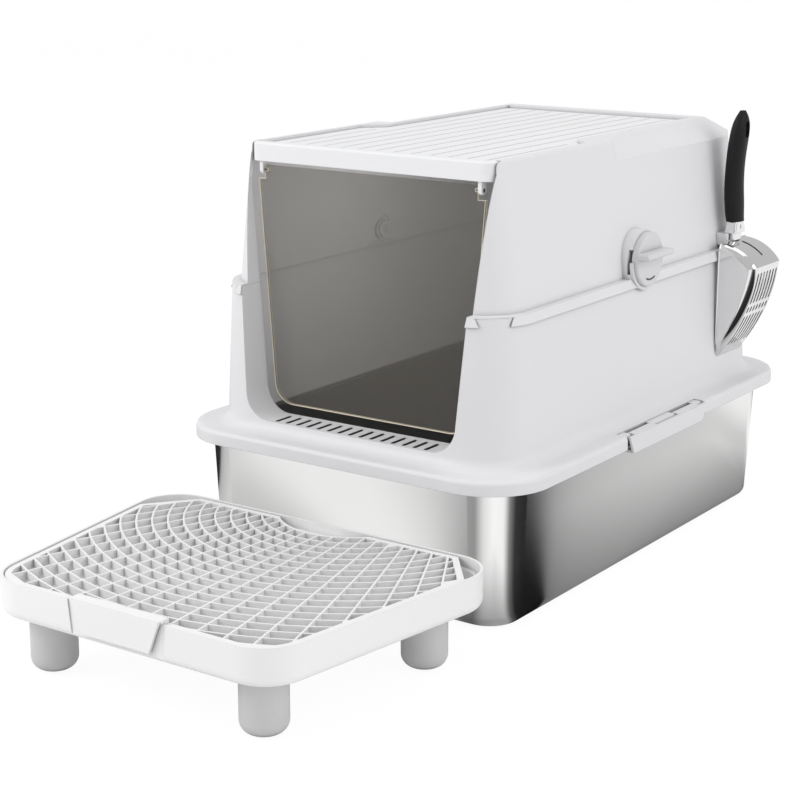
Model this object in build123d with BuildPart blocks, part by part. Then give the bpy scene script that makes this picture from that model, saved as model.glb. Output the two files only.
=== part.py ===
"""Covered litter box: a drawn steel pan, a clipped-on wall, a hood with a swing flap, a scoop and a step.

Millimetres. X runs across the box, Y from the entry (negative) to the back, Z up.
The origin is the middle of the pan's base, on the floor.
"""
import math
import os

from build123d import *

os.makedirs("parts", exist_ok=True)

# Fits that several pieces share
overrun = 6.0               # how far a cut runs past what it cuts
seat_gap = 0.3              # gap where one piece sits on or beside another
pin_clearance = 0.06        # radial, every pin in its bore
recess_clearance = 0.6      # a moulded panel in its recess

# Flange of the lower wall, the widest part of the box
flange_width = 400.0
flange_length = 600.0
flange_corner = 63.0
flange_plate = 3.0
flange_round = 4.5
skirt_drop = 14.0
skirt_wall = 3.0

# Steel pan
pan_height = 138.0
pan_sheet = 1.0
pan_set_in = 25.5           # base edge inside the flange's edge
pan_base_corner = 34.0
pan_bottom_radius = 11.0
pan_draft = 2.75            # degrees
rim_set_in = 6.0
rim_roll = 2.6

# Lower wall
rib_height = 9.0            # rib of the flange that stands on the pan's rim
rib_wall = 2.5
rib_set_in = 13.0
wall = 3.0
foot_set_in = 27.5
foot_corner = 52.0
foot_fillet = 12.0
wall_draft = 2.7            # degrees
lower_wall_height = 141.0

# Entry through both walls
sill_height = 12.0          # above the flange
sill_plate = 3.0
entry_post = 52.0           # foot of the wall to the side of the entry, at the sill
entry_flare = 4.4           # degrees, each side
entry_corner = 27.0
entry_return = 2.6          # thickness of the returns beside the entry
flap_set_back = 39.0        # the flap's plane behind the wall's foot
return_gap = 3.0            # the returns stop this far in front of the flap
slot_count = 15
slot_pitch = 12.5
slot_width = 4.6
slot_length = 25.0
slot_set_back = 17.0        # slot centres behind the wall's foot

# Hood
hood_height = 138.0
hood_step_side = 5.6
hood_step_end = 7.8
hood_lean_side = 18.0
hood_lean_end = 6.5
hood_foot_corner = 44.0
roof_corner = 31.0
roof_frame = 10.5           # depth of the frame round the lid
band_height = 9.5
band_lap = 8.0              # the band hangs this far below the lower wall's top
band_stand = 4.6            # how far the band stands out from the lower wall
band_corner = 56.0
band_draft = 15.0           # degrees
band_clearance = 0.4
roof_edge = 3.5             # rounding of the roof's outer edge
rear_bevel_front = -24.0    # Y where the side bevels start
rear_bevel_run = 23.5
rear_bevel_drop = 22.5
back_bevel_run = 40.0
back_bevel_drop = 24.0

# Lid
lid_border = 8.5            # hood's frame beside the lid's front part
lid_jog = 19.5              # the rear part is narrower by this on each side
lid_jog_front = -66.0
lid_jog_back = -46.0
lid_back_in = 59.4          # hinge edge in front of the roof's back
rear_border = 19.0          # flat roof behind the lid
lid_sunk = 3.0              # panel below the frame's top
lid_panel = 5.2
lid_bullnose_share = 0.48   # rounding of the hinge edge, of the panel's thickness
lid_ledge = 5.0
lip_drop = 18.0
lip_wall = 3.6
lip_top = 12.0              # depth of the lip's flat top
lip_edge = 2.0
lip_set_back = 33.0         # lip's face behind the wall's foot
lip_return = 15.0
lip_corner = 12.0
lip_gap = 1.0               # lip's ends to the entry's posts
groove_count = 12
groove_pitch = 20.7
groove_width = 2.0
groove_depth = 0.8
lid_pin_radius = 1.5
lid_pin_grip = 9.0          # length of pin in the lid
lid_pin_reach = 6.0         # length of pin in the frame

# Flap
flap_sheet = 3.0
flap_sill_gap = 9.0
flap_side_gap = 8.5         # flap's edges to the entry's posts
flap_corner = 22.0
flap_axle_drop = 8.5        # axle below the lip's lower edge
flap_axle_radius = 2.0
flap_top = 4.5              # sheet above the axle
flap_shoulder = 9.0         # notch below the axle
flap_notch = 8.5
lug_thick = 4.0
lug_radius = 4.2
lug_gap = 1.4               # lug to the flap's upper edge

# Side clips
clip_length = 168.0
clip_foot_length = 150.0
clip_drop = 19.0            # below the flange's top
clip_plate = 2.6
clip_stand = 2.5            # plate stands out past the flange's edge
clip_hook = 8.0
clip_axis_in = 7.5          # hinge axis inside the flange's edge
clip_axis_down = 5.0        # hinge axis below the flange's top
knuckle_radius = 4.0
clip_pin_radius = 2.0
knuckle_length = 45.0
knuckle_centre = 47.0
clip_side_gap = 0.5
clip_recess_in = 13.0       # depth of the recess in the flange

# Lock knobs
knob_rise = 18.5            # axis above the lower wall's top
knob_radius = 27.0
knob_thick = 7.0
knob_edge = 1.6
fin_length = 56.0
fin_thick = 6.5
fin_reach = 12.5
fin_rise = 6.0
fin_round = 2.6
pad_half = 29.0             # arched pad behind the knob
pad_stand = 7.5             # pad's face outside the hood's foot
keeper_margin = 4.0         # rim round the knob where it crosses the band
keeper_stand = 4.0
latch_slot_deep = 3.5       # slot in the pad's front side, behind the knob
latch_slot_high = 24.0
latch_slot_long = 12.0
shaft_radius = 5.0
boss_radius = 11.0
boss_reach = 7.0
retainer_radius = 9.0
retainer_thick = 3.0

# Scoop and its holder
scoop_set_in = 77.0         # scoop's middle from the back of the wall's foot
scoop_off_band = 1.2        # rim clear of the band
scoop_width = 70.0
scoop_depth = 42.0
scoop_rise = 9.0            # shoulder's top above the band
scoop_bowl = 124.0
scoop_sheet = 1.4
scoop_edge = 9.0
shoulder_drop = 23.0
arch_shares = (0.62, 0.34) # highest part of the shoulder's arch, out and down
belly_share = 0.7           # how full the belly is half way down
scoop_slot_count = 7
scoop_slot_pitch = 7.6
scoop_slot_width = 3.4
scoop_slot_length = 34.0
scoop_slot_gap = 14.0
short_slot_length = 7.0      # row between the two long ones
scoop_slot_top = 30.0       # below the shoulder's top
tang_width = 13.0
tang_length = 34.0
ferrule_width = 18.0
ferrule_depth = 10.0
ferrule_round = 3.0
collar_width = 27.0
collar_depth = 14.0
collar_height = 12.0
neck_width = 21.0
neck_depth = 13.0
rivet_radius = 2.0
rivet_head_radius = 3.4
rivet_head = 1.4
rivet_set_in = 1.0          # rivet's plain end inside the ferrule's face
grip_length = 118.0
grip_width = 28.0
grip_thick = 18.0
grip_shares = (             # along the grip, shift out, breadth and thickness there
    (0, 0, 0.95, 0.96),
    (0.13, -0.09, 1.03, 1.04),
    (0.26, -0.15, 1.04, 1.05),
    (0.39, -0.17, 1.02, 1.03),
    (0.52, -0.14, 1, 1.02),
    (0.65, -0.07, 1.02, 1.03),
    (0.77, 0.03, 1.02, 1.02),
    (0.88, 0.12, 0.88, 0.9),
    (0.95, 0.17, 0.6, 0.64),
    (1, 0.19, 0.3, 0.32),
)
grip_hole_radius = 4.5
grip_hole_length = 18.0
grip_hole_down = 19.5
fork_wall = 6.0
fork_height = 13.0
fork_drop = 5.0             # fork's under side below the bowl's top
fork_gap = 0.8              # fork to the ferrule
fork_short = 1.0            # prongs stop short of the ferrule's middle
fork_round = 2.5

# Entry step
step_centre = 11.0          # it stands a little to the right of the entry
step_gap = 22.0             # step's back edge in front of the flange
step_depth = 282.0
step_front_width = 315.0
step_back_width = 397.0
step_front_corner = 42.0
step_back_corner = 40.0
step_floor = 54.0
step_wall_height = 35.0
step_wall = 2.6
step_floor_plate = 3.0
step_bottom_radius = 9.0
grid_depth = 8.0
grid_sunk = 1.2
grid_frame = 6.0
grid_gap = 1.0              # grid's frame inside the tray's wall
grid_bar = 2.0
least_cell = 20.0           # square millimetres; a smaller cell at the frame stays closed
grid_rays = 25
grid_ray_step = 3.0         # degrees
grid_ray_shift = -0.7       # degrees, the middle ray off the step's middle
grid_ray_focus = 245.0      # where the rays meet, behind the step's back edge
grid_arcs = 21
grid_arc_step = 14.85
grid_arc_first = 75.1       # the first arc edges the bay in the grid's back
grid_arc_focus = 47.5       # middle of the arcs, behind the step's back edge
grid_bevel_width = 48.5     # cut-off back corners
grid_bevel_depth = 61.6
grid_ledge_width = 5.0
tab_shift = 4.0             # tab's middle to the left of the step's
tab_length = 100.0
tab_foot_length = 76.0
tab_drop = 27.0
tab_plate = 2.6
tab_recess = 5.0
leg_radius = 21.0
leg_foot_radius = 12.0
leg_inset_front = 41.0
leg_front_spread = 236.0
leg_inset_back = 51.0
leg_back_spread = 292.0
spigot_radius = 8.0
spigot_height = 8.0
socket_wall = 3.0

# Levels and half-sizes that follow from the values above
flange_under = pan_height + rib_height
flange_top = flange_under + flange_plate
skirt_bottom = flange_top - skirt_drop
lower_top = flange_top + lower_wall_height
roof_top = lower_top + hood_height
roof_under = roof_top - roof_frame
sill_top = flange_top + sill_height
foot_width = flange_width - 2 * foot_set_in
foot_length = flange_length - 2 * foot_set_in + 2 * wall
lower_draw = (lower_wall_height + flange_plate) * math.tan(math.radians(wall_draft))
lower_top_width = foot_width - 2 * lower_draw
lower_top_length = foot_length - 2 * lower_draw
hood_width = lower_top_width - 2 * hood_step_side
hood_length = lower_top_length - 2 * hood_step_end
roof_width = hood_width - 2 * hood_lean_side
roof_length = hood_length - 2 * hood_lean_end
lid_back = roof_length / 2 - lid_back_in
entry_front = foot_length / 2
flap_y = flap_set_back - entry_front
entry_bottom = foot_width / 2 - entry_post


def entry_half(level):
    """Half the entry's width at a level."""
    return entry_bottom + (level - sill_top) * math.tan(math.radians(entry_flare))


def hood_half(level):
    """Half the hood's outside width at a level."""
    return hood_width / 2 - hood_lean_side * (level - lower_top) / hood_height


def drafted_block(width, length, corner, base, height, draft):
    """Rounded block that narrows upwards by the draft, or widens if the draft is negative."""
    with BuildPart() as block:
        with BuildSketch(Plane.XY.offset(base)):
            RectangleRounded(width, length, corner)
        extrude(amount=height, taper=draft)
    return block.part


def entry_prism(grow, back, front):
    """The U-shaped way in, grown by a wall, from one Y to another further forward."""
    top = roof_top + overrun
    with BuildPart() as prism:
        with BuildSketch(Plane.XZ.offset(-back)) as outline:
            Polygon(
                (-entry_half(top), top),
                (-entry_half(sill_top), sill_top),
                (entry_half(sill_top), sill_top),
                (entry_half(top), top),
                align=None,
            )
            fillet(outline.vertices().group_by(Axis.Y)[0], radius=entry_corner)
            if grow:
                offset(amount=grow, kind=Kind.INTERSECTION, mode=Mode.REPLACE)
        extrude(amount=back - front)
    return prism.part


def hood_block(inset):
    """The hood's outside form, or the form inside its walls when it is inset."""
    half = roof_width / 2 - lid_jog
    side_lower = inset * math.hypot(rear_bevel_run, rear_bevel_drop) / rear_bevel_run
    back_lower = inset * math.hypot(back_bevel_run, back_bevel_drop) / back_bevel_run
    back_edge = lid_back + rear_border
    bevel_length = roof_length
    side_far = half + 2 * rear_bevel_run
    back_far = back_edge + 2 * back_bevel_run
    with BuildPart() as block:
        with BuildSketch(Plane.XY.offset(lower_top)):
            RectangleRounded(hood_width - 2 * inset, hood_length - 2 * inset, hood_foot_corner - inset)
        with BuildSketch(Plane.XY.offset(roof_top)):
            RectangleRounded(roof_width - 2 * inset, roof_length - 2 * inset, roof_corner - inset)
        loft(ruled=True)
        for side in (-1, 1):
            with BuildSketch(Plane.XZ.offset(-rear_bevel_front)):
                Polygon(
                    (side * half, roof_top - side_lower),
                    (side * side_far, roof_top - side_lower - 2 * rear_bevel_drop),
                    (side * side_far, roof_top + overrun),
                    (side * half, roof_top + overrun),
                    align=None,
                )
            extrude(amount=-bevel_length, mode=Mode.SUBTRACT)
        with BuildSketch(Plane.YZ.offset(-roof_width)):
            Polygon(
                (back_edge, roof_top - back_lower),
                (back_far, roof_top - back_lower - 2 * back_bevel_drop),
                (back_far, roof_top + overrun),
                (back_edge, roof_top + overrun),
                align=None,
            )
        extrude(amount=2 * roof_width, mode=Mode.SUBTRACT)
        if not inset:
            fillet(block.faces().sort_by(Axis.Z)[-1].edges(), radius=roof_edge)
    return block.part


# Steel pan: drawn sheet with a turned-out and rolled rim
pan_base_width = flange_width - 2 * pan_set_in
pan_base_length = flange_length - 2 * pan_set_in
rim_width = flange_width - 2 * rim_set_in
rim_length = flange_length - 2 * rim_set_in
rim_corner = flange_corner - rim_set_in
pan_outside = drafted_block(pan_base_width, pan_base_length, pan_base_corner, 0, pan_height, -pan_draft)

with BuildPart() as pan_hollow:
    with BuildSketch(Plane.XY.offset(pan_sheet)):
        RectangleRounded(
            pan_base_width - 2 * pan_sheet, pan_base_length - 2 * pan_sheet, pan_base_corner - pan_sheet
        )
    extrude(amount=pan_height, taper=-pan_draft)
    fillet(pan_hollow.faces().sort_by(Axis.Z)[0].edges(), radius=pan_bottom_radius - pan_sheet)

with BuildPart() as steel_pan:
    add(pan_outside)
    fillet(steel_pan.faces().sort_by(Axis.Z)[0].edges(), radius=pan_bottom_radius)
    with BuildSketch(Plane.XY.offset(pan_height - pan_sheet)):
        RectangleRounded(rim_width, rim_length, rim_corner)
    extrude(amount=pan_sheet)
    with BuildSketch(Plane.XY.offset(pan_height - rim_roll)):
        RectangleRounded(rim_width, rim_length, rim_corner)
        RectangleRounded(
            rim_width - 2 * pan_sheet, rim_length - 2 * pan_sheet, rim_corner - pan_sheet, mode=Mode.SUBTRACT
        )
    extrude(amount=rim_roll - pan_sheet)
    add(pan_hollow.part, mode=Mode.SUBTRACT)
steel_pan.part.label = "steel_pan"
export_step(steel_pan.part, "parts/steel_pan.step")

# Lower wall: flange, skirt and rib, the drafted wall, the entry's returns and the slotted sill
wall_outside = drafted_block(
    foot_width, foot_length, foot_corner, flange_under, lower_wall_height + flange_plate, wall_draft
)
wall_hollow = drafted_block(
    foot_width - 2 * wall,
    foot_length - 2 * wall,
    foot_corner - wall,
    flange_under,
    lower_wall_height + flange_plate,
    wall_draft,
)
return_back = flap_y - return_gap
entry_cut = entry_prism(0, flap_y, -entry_front - foot_fillet - overrun)
entry_ring = entry_prism(entry_return, return_back, -entry_front - overrun)

with BuildPart() as lower_returns:
    add(entry_ring)
    add(entry_cut, mode=Mode.SUBTRACT)
    add(wall_outside, mode=Mode.INTERSECT)
    with BuildSketch(Plane.XY.offset(sill_top - sill_plate - overrun)):
        with Locations((0, slot_set_back - entry_front)):
            with GridLocations(slot_pitch, slot_pitch, slot_count, 1):
                SlotOverall(slot_length, slot_width, rotation=90)
    extrude(amount=sill_plate + 2 * overrun, mode=Mode.SUBTRACT)

clip_axis_x = flange_width / 2 - clip_axis_in
clip_axis_z = flange_top - clip_axis_down
recess_x = flange_width / 2 - clip_recess_in
recess_length = clip_length + 2 * clip_side_gap
knuckle_slot = knuckle_length + 2 * clip_side_gap
lug_spans = (
    (-recess_length / 2, -knuckle_centre - knuckle_slot / 2),
    (-knuckle_centre + knuckle_slot / 2, knuckle_centre - knuckle_slot / 2),
    (knuckle_centre + knuckle_slot / 2, recess_length / 2),
)

with BuildPart() as lower_wall:
    with BuildSketch(Plane.XY.offset(skirt_bottom)):
        RectangleRounded(flange_width, flange_length, flange_corner)
    extrude(amount=skirt_drop)
    fillet(lower_wall.faces().sort_by(Axis.Z)[-1].edges(), radius=flange_round)
    add(wall_outside)
    flange_face = lower_wall.faces().filter_by(Axis.Z).filter_by_position(
        Axis.Z, flange_top - seat_gap, flange_top + seat_gap
    )[0]
    fillet(flange_face.inner_wires()[0].edges(), radius=foot_fillet)
    with BuildSketch(Plane.XY.offset(skirt_bottom)):
        RectangleRounded(
            flange_width - 2 * skirt_wall, flange_length - 2 * skirt_wall, flange_corner - skirt_wall
        )
    extrude(amount=skirt_drop - flange_plate, mode=Mode.SUBTRACT)
    with BuildSketch(Plane.XY.offset(pan_height)):
        RectangleRounded(
            flange_width - 2 * rib_set_in, flange_length - 2 * rib_set_in, flange_corner - rib_set_in
        )
        offset(amount=-rib_wall, mode=Mode.SUBTRACT)
    extrude(amount=rib_height)
    add(wall_hollow, mode=Mode.SUBTRACT)
    add(entry_cut, mode=Mode.SUBTRACT)
    add(lower_returns.part)
    for side in (-1, 1):
        with BuildSketch(Plane.XY.offset(skirt_bottom)):
            with Locations((side * (recess_x + clip_recess_in), 0)):
                Rectangle(2 * clip_recess_in, recess_length)
        extrude(amount=skirt_drop, mode=Mode.SUBTRACT)
        for lug_start, lug_end in lug_spans:
            with BuildSketch(Plane.XZ.offset(-lug_start)):
                with Locations((side * clip_axis_x, clip_axis_z)):
                    Circle(knuckle_radius)
                with Locations((side * (recess_x + clip_axis_x) / 2, clip_axis_z)):
                    Rectangle(clip_axis_x - recess_x, 2 * knuckle_radius)
            extrude(amount=lug_start - lug_end)
        with BuildSketch(Plane.XZ.offset(recess_length / 2)):
            with Locations((side * clip_axis_x, clip_axis_z)):
                Circle(clip_pin_radius + pin_clearance)
        extrude(amount=-recess_length, mode=Mode.SUBTRACT)
lower_wall.part.label = "lower_wall"
export_step(lower_wall.part, "parts/lower_wall.step")

# Side clips: a hanging plate with a hook below and two knuckles on a rod
clip_inner = flange_width / 2 + clip_stand - clip_plate
clip_foot_z = flange_top - clip_drop
arm_low = clip_axis_z + knuckle_radius - clip_plate

with BuildPart() as clip_bore:
    with BuildSketch(Plane.XZ.offset(clip_length)):
        with Locations((clip_axis_x, clip_axis_z)):
            Circle(clip_pin_radius + pin_clearance)
    extrude(amount=-2 * clip_length)

with BuildPart() as side_clip_right:
    with BuildSketch(Plane.YZ.offset(clip_inner)):
        Polygon(
            (-clip_foot_length / 2, clip_foot_z),
            (clip_foot_length / 2, clip_foot_z),
            (clip_length / 2, clip_axis_z + knuckle_radius),
            (-clip_length / 2, clip_axis_z + knuckle_radius),
            align=None,
        )
    extrude(amount=clip_plate)
    with BuildSketch(Plane.XY.offset(clip_foot_z)):
        with Locations((clip_inner - clip_hook / 2, 0)):
            Rectangle(clip_hook, clip_foot_length)
    extrude(amount=clip_plate)
    for knuckle_y in (-knuckle_centre, knuckle_centre):
        with BuildSketch(Plane.XZ.offset(-knuckle_y + knuckle_length / 2)):
            with Locations((clip_axis_x, clip_axis_z)):
                Circle(knuckle_radius)
            with Locations(((clip_axis_x + clip_inner) / 2, arm_low + clip_plate / 2)):
                Rectangle(clip_inner - clip_axis_x, clip_plate)
        extrude(amount=-knuckle_length)
    add(clip_bore.part, mode=Mode.SUBTRACT)
side_clip_right.part.label = "side_clip_right"
export_step(side_clip_right.part, "parts/side_clip_right.step")

with BuildPart() as side_clip_left:
    mirror(side_clip_right.part, about=Plane.YZ)
side_clip_left.part.label = "side_clip_left"
export_step(side_clip_left.part, "parts/side_clip_left.step")

for side_name, side in (("left", -1), ("right", 1)):
    with BuildPart() as clip_pin:
        with BuildSketch(Plane.XZ.offset(recess_length / 2)):
            with Locations((side * clip_axis_x, clip_axis_z)):
                Circle(clip_pin_radius)
        extrude(amount=-recess_length)
    clip_pin.part.label = f"clip_pin_{side_name}"
    export_step(clip_pin.part, f"parts/clip_pin_{side_name}.step")

# Hood: drafted shell with the lapping band, the lid's frame, the knob pads and the entry's returns
hood_outside = hood_block(0)
hood_hollow_full = hood_block(wall)
with BuildPart() as hood_hollow:
    add(hood_hollow_full)
    split(bisect_by=Plane.XY.offset(roof_under), keep=Keep.BOTTOM)

with BuildPart() as hood_returns:
    add(entry_ring)
    add(entry_cut, mode=Mode.SUBTRACT)
    add(hood_outside, mode=Mode.INTERSECT)

band_bottom = lower_top - band_lap
band_draw = band_lap * math.tan(math.radians(wall_draft))
lap_fit = drafted_block(
    lower_top_width + 2 * band_draw + 2 * band_clearance,
    lower_top_length + 2 * band_draw + 2 * band_clearance,
    foot_corner - lower_draw + band_draw + band_clearance,
    band_bottom,
    band_lap,
    wall_draft,
)
knob_z = lower_top + knob_rise
pad_x = hood_width / 2 + pad_stand
keeper_radius = knob_radius + keeper_margin
keeper_fall = (keeper_radius - knob_rise) * math.tan(math.radians(wall_draft))
keeper_x = lower_top_width / 2 + keeper_fall + band_clearance
boss_x = hood_half(knob_z) - wall - boss_reach / 2
lid_front_half = roof_width / 2 - lid_border
lid_rear_half = lid_front_half - lid_jog
lid_top = roof_top - lid_sunk
lid_under = lid_top - lid_panel
lid_axis_z = lid_top - lid_panel / 2
lid_axis_y = lid_back - recess_clearance - lid_panel / 2
lip_y = lip_set_back - entry_front
lip_back_y = lip_y + lip_return
lip_bottom = roof_top - lip_drop
lip_half = entry_half(lip_bottom) - lip_gap


def lid_outline(shrink, front):
    """Plan of the lid: wide in front, narrower behind the jog, shrunk all round."""
    wide = lid_front_half - shrink
    narrow = lid_rear_half - shrink
    half = [(wide, front), (wide, lid_jog_front), (narrow, lid_jog_back), (narrow, lid_back - shrink)]
    return half + [(-x, y) for x, y in reversed(half)]


with BuildPart() as upper_hood:
    add(hood_outside)
    with BuildSketch(Plane.XY.offset(band_bottom)):
        RectangleRounded(
            lower_top_width + 2 * band_stand, lower_top_length + 2 * band_stand, band_corner
        )
    extrude(amount=band_height, taper=band_draft)
    for side in (-1, 1):
        with BuildSketch(Plane.YZ):
            with Locations((0, knob_z)):
                Circle(pad_half)
                Rectangle(2 * pad_half, pad_half, align=(Align.CENTER, Align.MAX), mode=Mode.SUBTRACT)
            with Locations((0, lower_top)):
                Rectangle(2 * pad_half, knob_rise, align=(Align.CENTER, Align.MIN))
        extrude(amount=side * pad_x)
        with BuildSketch(Plane.YZ.offset(side * keeper_x)):
            with Locations((0, knob_z)):
                Circle(keeper_radius)
                Rectangle(
                    2 * keeper_radius, keeper_radius, align=(Align.CENTER, Align.MIN), mode=Mode.SUBTRACT
                )
        extrude(amount=side * keeper_stand)
    add(hood_hollow.part, mode=Mode.SUBTRACT)
    with BuildSketch(Plane.XY.offset(band_bottom - pad_half)):
        Rectangle(lower_top_width - 2 * wall, lower_top_length - 2 * wall)
    extrude(amount=band_lap + pad_half, mode=Mode.SUBTRACT)
    add(lap_fit, mode=Mode.SUBTRACT)
    add(entry_cut, mode=Mode.SUBTRACT)
    add(hood_returns.part)
    with BuildSketch(Plane.XY.offset(lid_under - seat_gap)):
        Polygon(*lid_outline(0, -roof_length), align=None)
    extrude(amount=roof_frame, mode=Mode.SUBTRACT)
    with BuildSketch(Plane.XY.offset(roof_under - overrun)):
        Polygon(*lid_outline(lid_ledge, -roof_length), align=None)
    extrude(amount=roof_frame, mode=Mode.SUBTRACT)
    with BuildSketch(Plane.XY.offset(lip_bottom - recess_clearance)):
        with Locations((0, lip_back_y + recess_clearance)):
            Rectangle(2 * lip_half + 2 * lip_gap, roof_length, align=(Align.CENTER, Align.MAX))
    extrude(amount=lip_drop + overrun, mode=Mode.SUBTRACT)
    for side in (-1, 1):
        with BuildSketch(Plane.YZ.offset(side * boss_x)):
            with Locations((0, knob_z)):
                Circle(boss_radius)
        extrude(amount=side * boss_reach)
        with BuildSketch(Plane.YZ.offset(side * pad_x)):
            with Locations((0, knob_z)):
                Circle(knob_radius + seat_gap)
        extrude(amount=side * knob_radius, mode=Mode.SUBTRACT)
        with BuildSketch(Plane.YZ.offset(side * (pad_x - latch_slot_deep))):
            with Locations((-pad_half, knob_z)):
                Rectangle(2 * latch_slot_long, latch_slot_high)
        extrude(amount=side * latch_slot_deep, mode=Mode.SUBTRACT)
        with BuildSketch(Plane.YZ.offset(side * (boss_x - overrun))):
            with Locations((0, knob_z)):
                Circle(shaft_radius + pin_clearance)
        extrude(amount=side * (pad_x - boss_x + 2 * overrun), mode=Mode.SUBTRACT)
        with BuildSketch(Plane.YZ.offset(side * (lid_rear_half - recess_clearance))):
            with Locations((lid_axis_y, lid_axis_z)):
                Circle(lid_pin_radius + pin_clearance)
        extrude(amount=side * (lid_pin_reach + 2 * recess_clearance), mode=Mode.SUBTRACT)
upper_hood.part.label = "upper_hood"
export_step(upper_hood.part, "parts/upper_hood.step")

# Lock knobs: a disc with a grip fin on a shaft, held inside by a pressed-on retainer
knob_back = pad_x + seat_gap
knob_face = knob_back + knob_thick
shaft_end = boss_x - seat_gap - retainer_thick

with BuildPart() as lock_knob_right:
    with BuildSketch(Plane.YZ.offset(knob_back)):
        with Locations((0, knob_z)):
            Circle(knob_radius)
    extrude(amount=knob_thick)
    fillet(lock_knob_right.faces().sort_by(Axis.X)[-1].edges(), radius=knob_edge)
    with BuildSketch(Plane.YZ.offset(knob_face - knob_edge)):
        with Locations((0, knob_z + fin_rise)):
            SlotOverall(fin_length, fin_thick)
    extrude(amount=fin_reach + knob_edge)
    fillet(lock_knob_right.faces().sort_by(Axis.X)[-1].edges(), radius=fin_round)
    with BuildSketch(Plane.YZ.offset(shaft_end)):
        with Locations((0, knob_z)):
            Circle(shaft_radius)
    extrude(amount=knob_back - shaft_end)
lock_knob_right.part.label = "lock_knob_right"
export_step(lock_knob_right.part, "parts/lock_knob_right.step")

with BuildPart() as lock_knob_left:
    mirror(lock_knob_right.part, about=Plane.YZ)
lock_knob_left.part.label = "lock_knob_left"
export_step(lock_knob_left.part, "parts/lock_knob_left.step")

for side_name, side in (("left", -1), ("right", 1)):
    with BuildPart() as lock_retainer:
        with BuildSketch(Plane.YZ.offset(side * shaft_end)):
            with Locations((0, knob_z)):
                Circle(retainer_radius)
                Circle(shaft_radius + pin_clearance, mode=Mode.SUBTRACT)
        extrude(amount=side * retainer_thick)
    lock_retainer.part.label = f"lock_retainer_{side_name}"
    export_step(lock_retainer.part, f"parts/lock_retainer_{side_name}.step")

# Lid: grooved panel with a front lip, a rounded hinge edge and two lugs for the flap
flap_axle_z = lip_bottom - flap_axle_drop
flap_half_top = entry_half(flap_axle_z) - flap_side_gap
lug_inner = flap_half_top - flap_notch + lug_gap
groove_front = lip_y + lip_top + groove_width
groove_back = lid_axis_y - lid_panel

with BuildPart() as top_lid:
    with BuildSketch(Plane.XY.offset(lid_under)):
        Polygon(*lid_outline(recess_clearance, lip_back_y - lip_wall), align=None)
    extrude(amount=lid_panel)
    fillet(top_lid.faces().sort_by(Axis.Y)[-1].edges().filter_by(Axis.X), radius=lid_panel * lid_bullnose_share)
    with BuildSketch(Plane.XY.offset(lip_bottom)) as lip_plan:
        with Locations((0, (lip_y + lip_back_y) / 2)):
            Rectangle(2 * lip_half, lip_return)
        fillet(lip_plan.vertices().group_by(Axis.Y)[0], radius=lip_corner)
    extrude(amount=roof_top - lip_bottom)
    fillet(top_lid.faces().sort_by(Axis.Z)[-1].edges().group_by(Axis.Y)[0], radius=lip_edge)
    with BuildSketch(Plane.XY.offset(lip_bottom)) as lip_hollow:
        with Locations((0, (lip_y + lip_back_y) / 2 + lip_wall)):
            Rectangle(2 * lip_half - 2 * lip_wall, lip_return)
        fillet(lip_hollow.vertices().group_by(Axis.Y)[0], radius=lip_corner - lip_wall)
    extrude(amount=lid_under - lip_bottom, mode=Mode.SUBTRACT)
    with BuildSketch(Plane.XY.offset(lid_top)):
        with Locations((0, lip_y + lip_top)):
            Rectangle(2 * lip_half, lip_return, align=(Align.CENTER, Align.MIN))
    extrude(amount=lid_sunk + overrun, mode=Mode.SUBTRACT)
    with BuildSketch(Plane.XY.offset(lid_top - groove_depth)):
        for index in range(groove_count):
            groove_x = (index - (groove_count - 1) / 2) * groove_pitch
            short = abs(groove_x) > lid_rear_half - groove_width
            groove_end = lid_jog_front if short else groove_back
            with Locations((groove_x, (groove_front + groove_end) / 2)):
                Rectangle(groove_width, groove_end - groove_front)
    extrude(amount=groove_depth + overrun, mode=Mode.SUBTRACT)
    for side in (-1, 1):
        with BuildSketch(Plane.YZ.offset(side * lug_inner)):
            with Locations((flap_y, flap_axle_z)):
                Circle(lug_radius)
            with Locations((flap_y, (flap_axle_z + lid_under) / 2)):
                Rectangle(2 * lug_radius, lid_under - flap_axle_z)
        extrude(amount=side * lug_thick)
        with BuildSketch(Plane.YZ.offset(side * (lug_inner - overrun))):
            with Locations((flap_y, flap_axle_z)):
                Circle(flap_axle_radius + pin_clearance)
        extrude(amount=side * (lug_thick + 2 * overrun), mode=Mode.SUBTRACT)
        with BuildSketch(Plane.YZ.offset(side * (lid_rear_half - recess_clearance - lid_pin_grip))):
            with Locations((lid_axis_y, lid_axis_z)):
                Circle(lid_pin_radius + pin_clearance)
        extrude(amount=side * (lid_pin_grip + overrun), mode=Mode.SUBTRACT)
top_lid.part.label = "top_lid"
export_step(top_lid.part, "parts/top_lid.step")

for side_name, side in (("left", -1), ("right", 1)):
    with BuildPart() as lid_pin:
        with BuildSketch(Plane.YZ.offset(side * (lid_rear_half - recess_clearance - lid_pin_grip))):
            with Locations((lid_axis_y, lid_axis_z)):
                Circle(lid_pin_radius)
        extrude(amount=side * (lid_pin_grip + recess_clearance + lid_pin_reach))
    lid_pin.part.label = f"lid_pin_{side_name}"
    export_step(lid_pin.part, f"parts/lid_pin_{side_name}.step")

# Flap: a clear sheet with notched upper corners and stub axles
flap_bottom = sill_top + flap_sill_gap
flap_half_bottom = entry_half(flap_bottom) - flap_side_gap
shoulder_z = flap_axle_z - flap_shoulder
flap_half_shoulder = entry_half(shoulder_z) - flap_side_gap
flap_half_upper = flap_half_top - flap_notch

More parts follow.
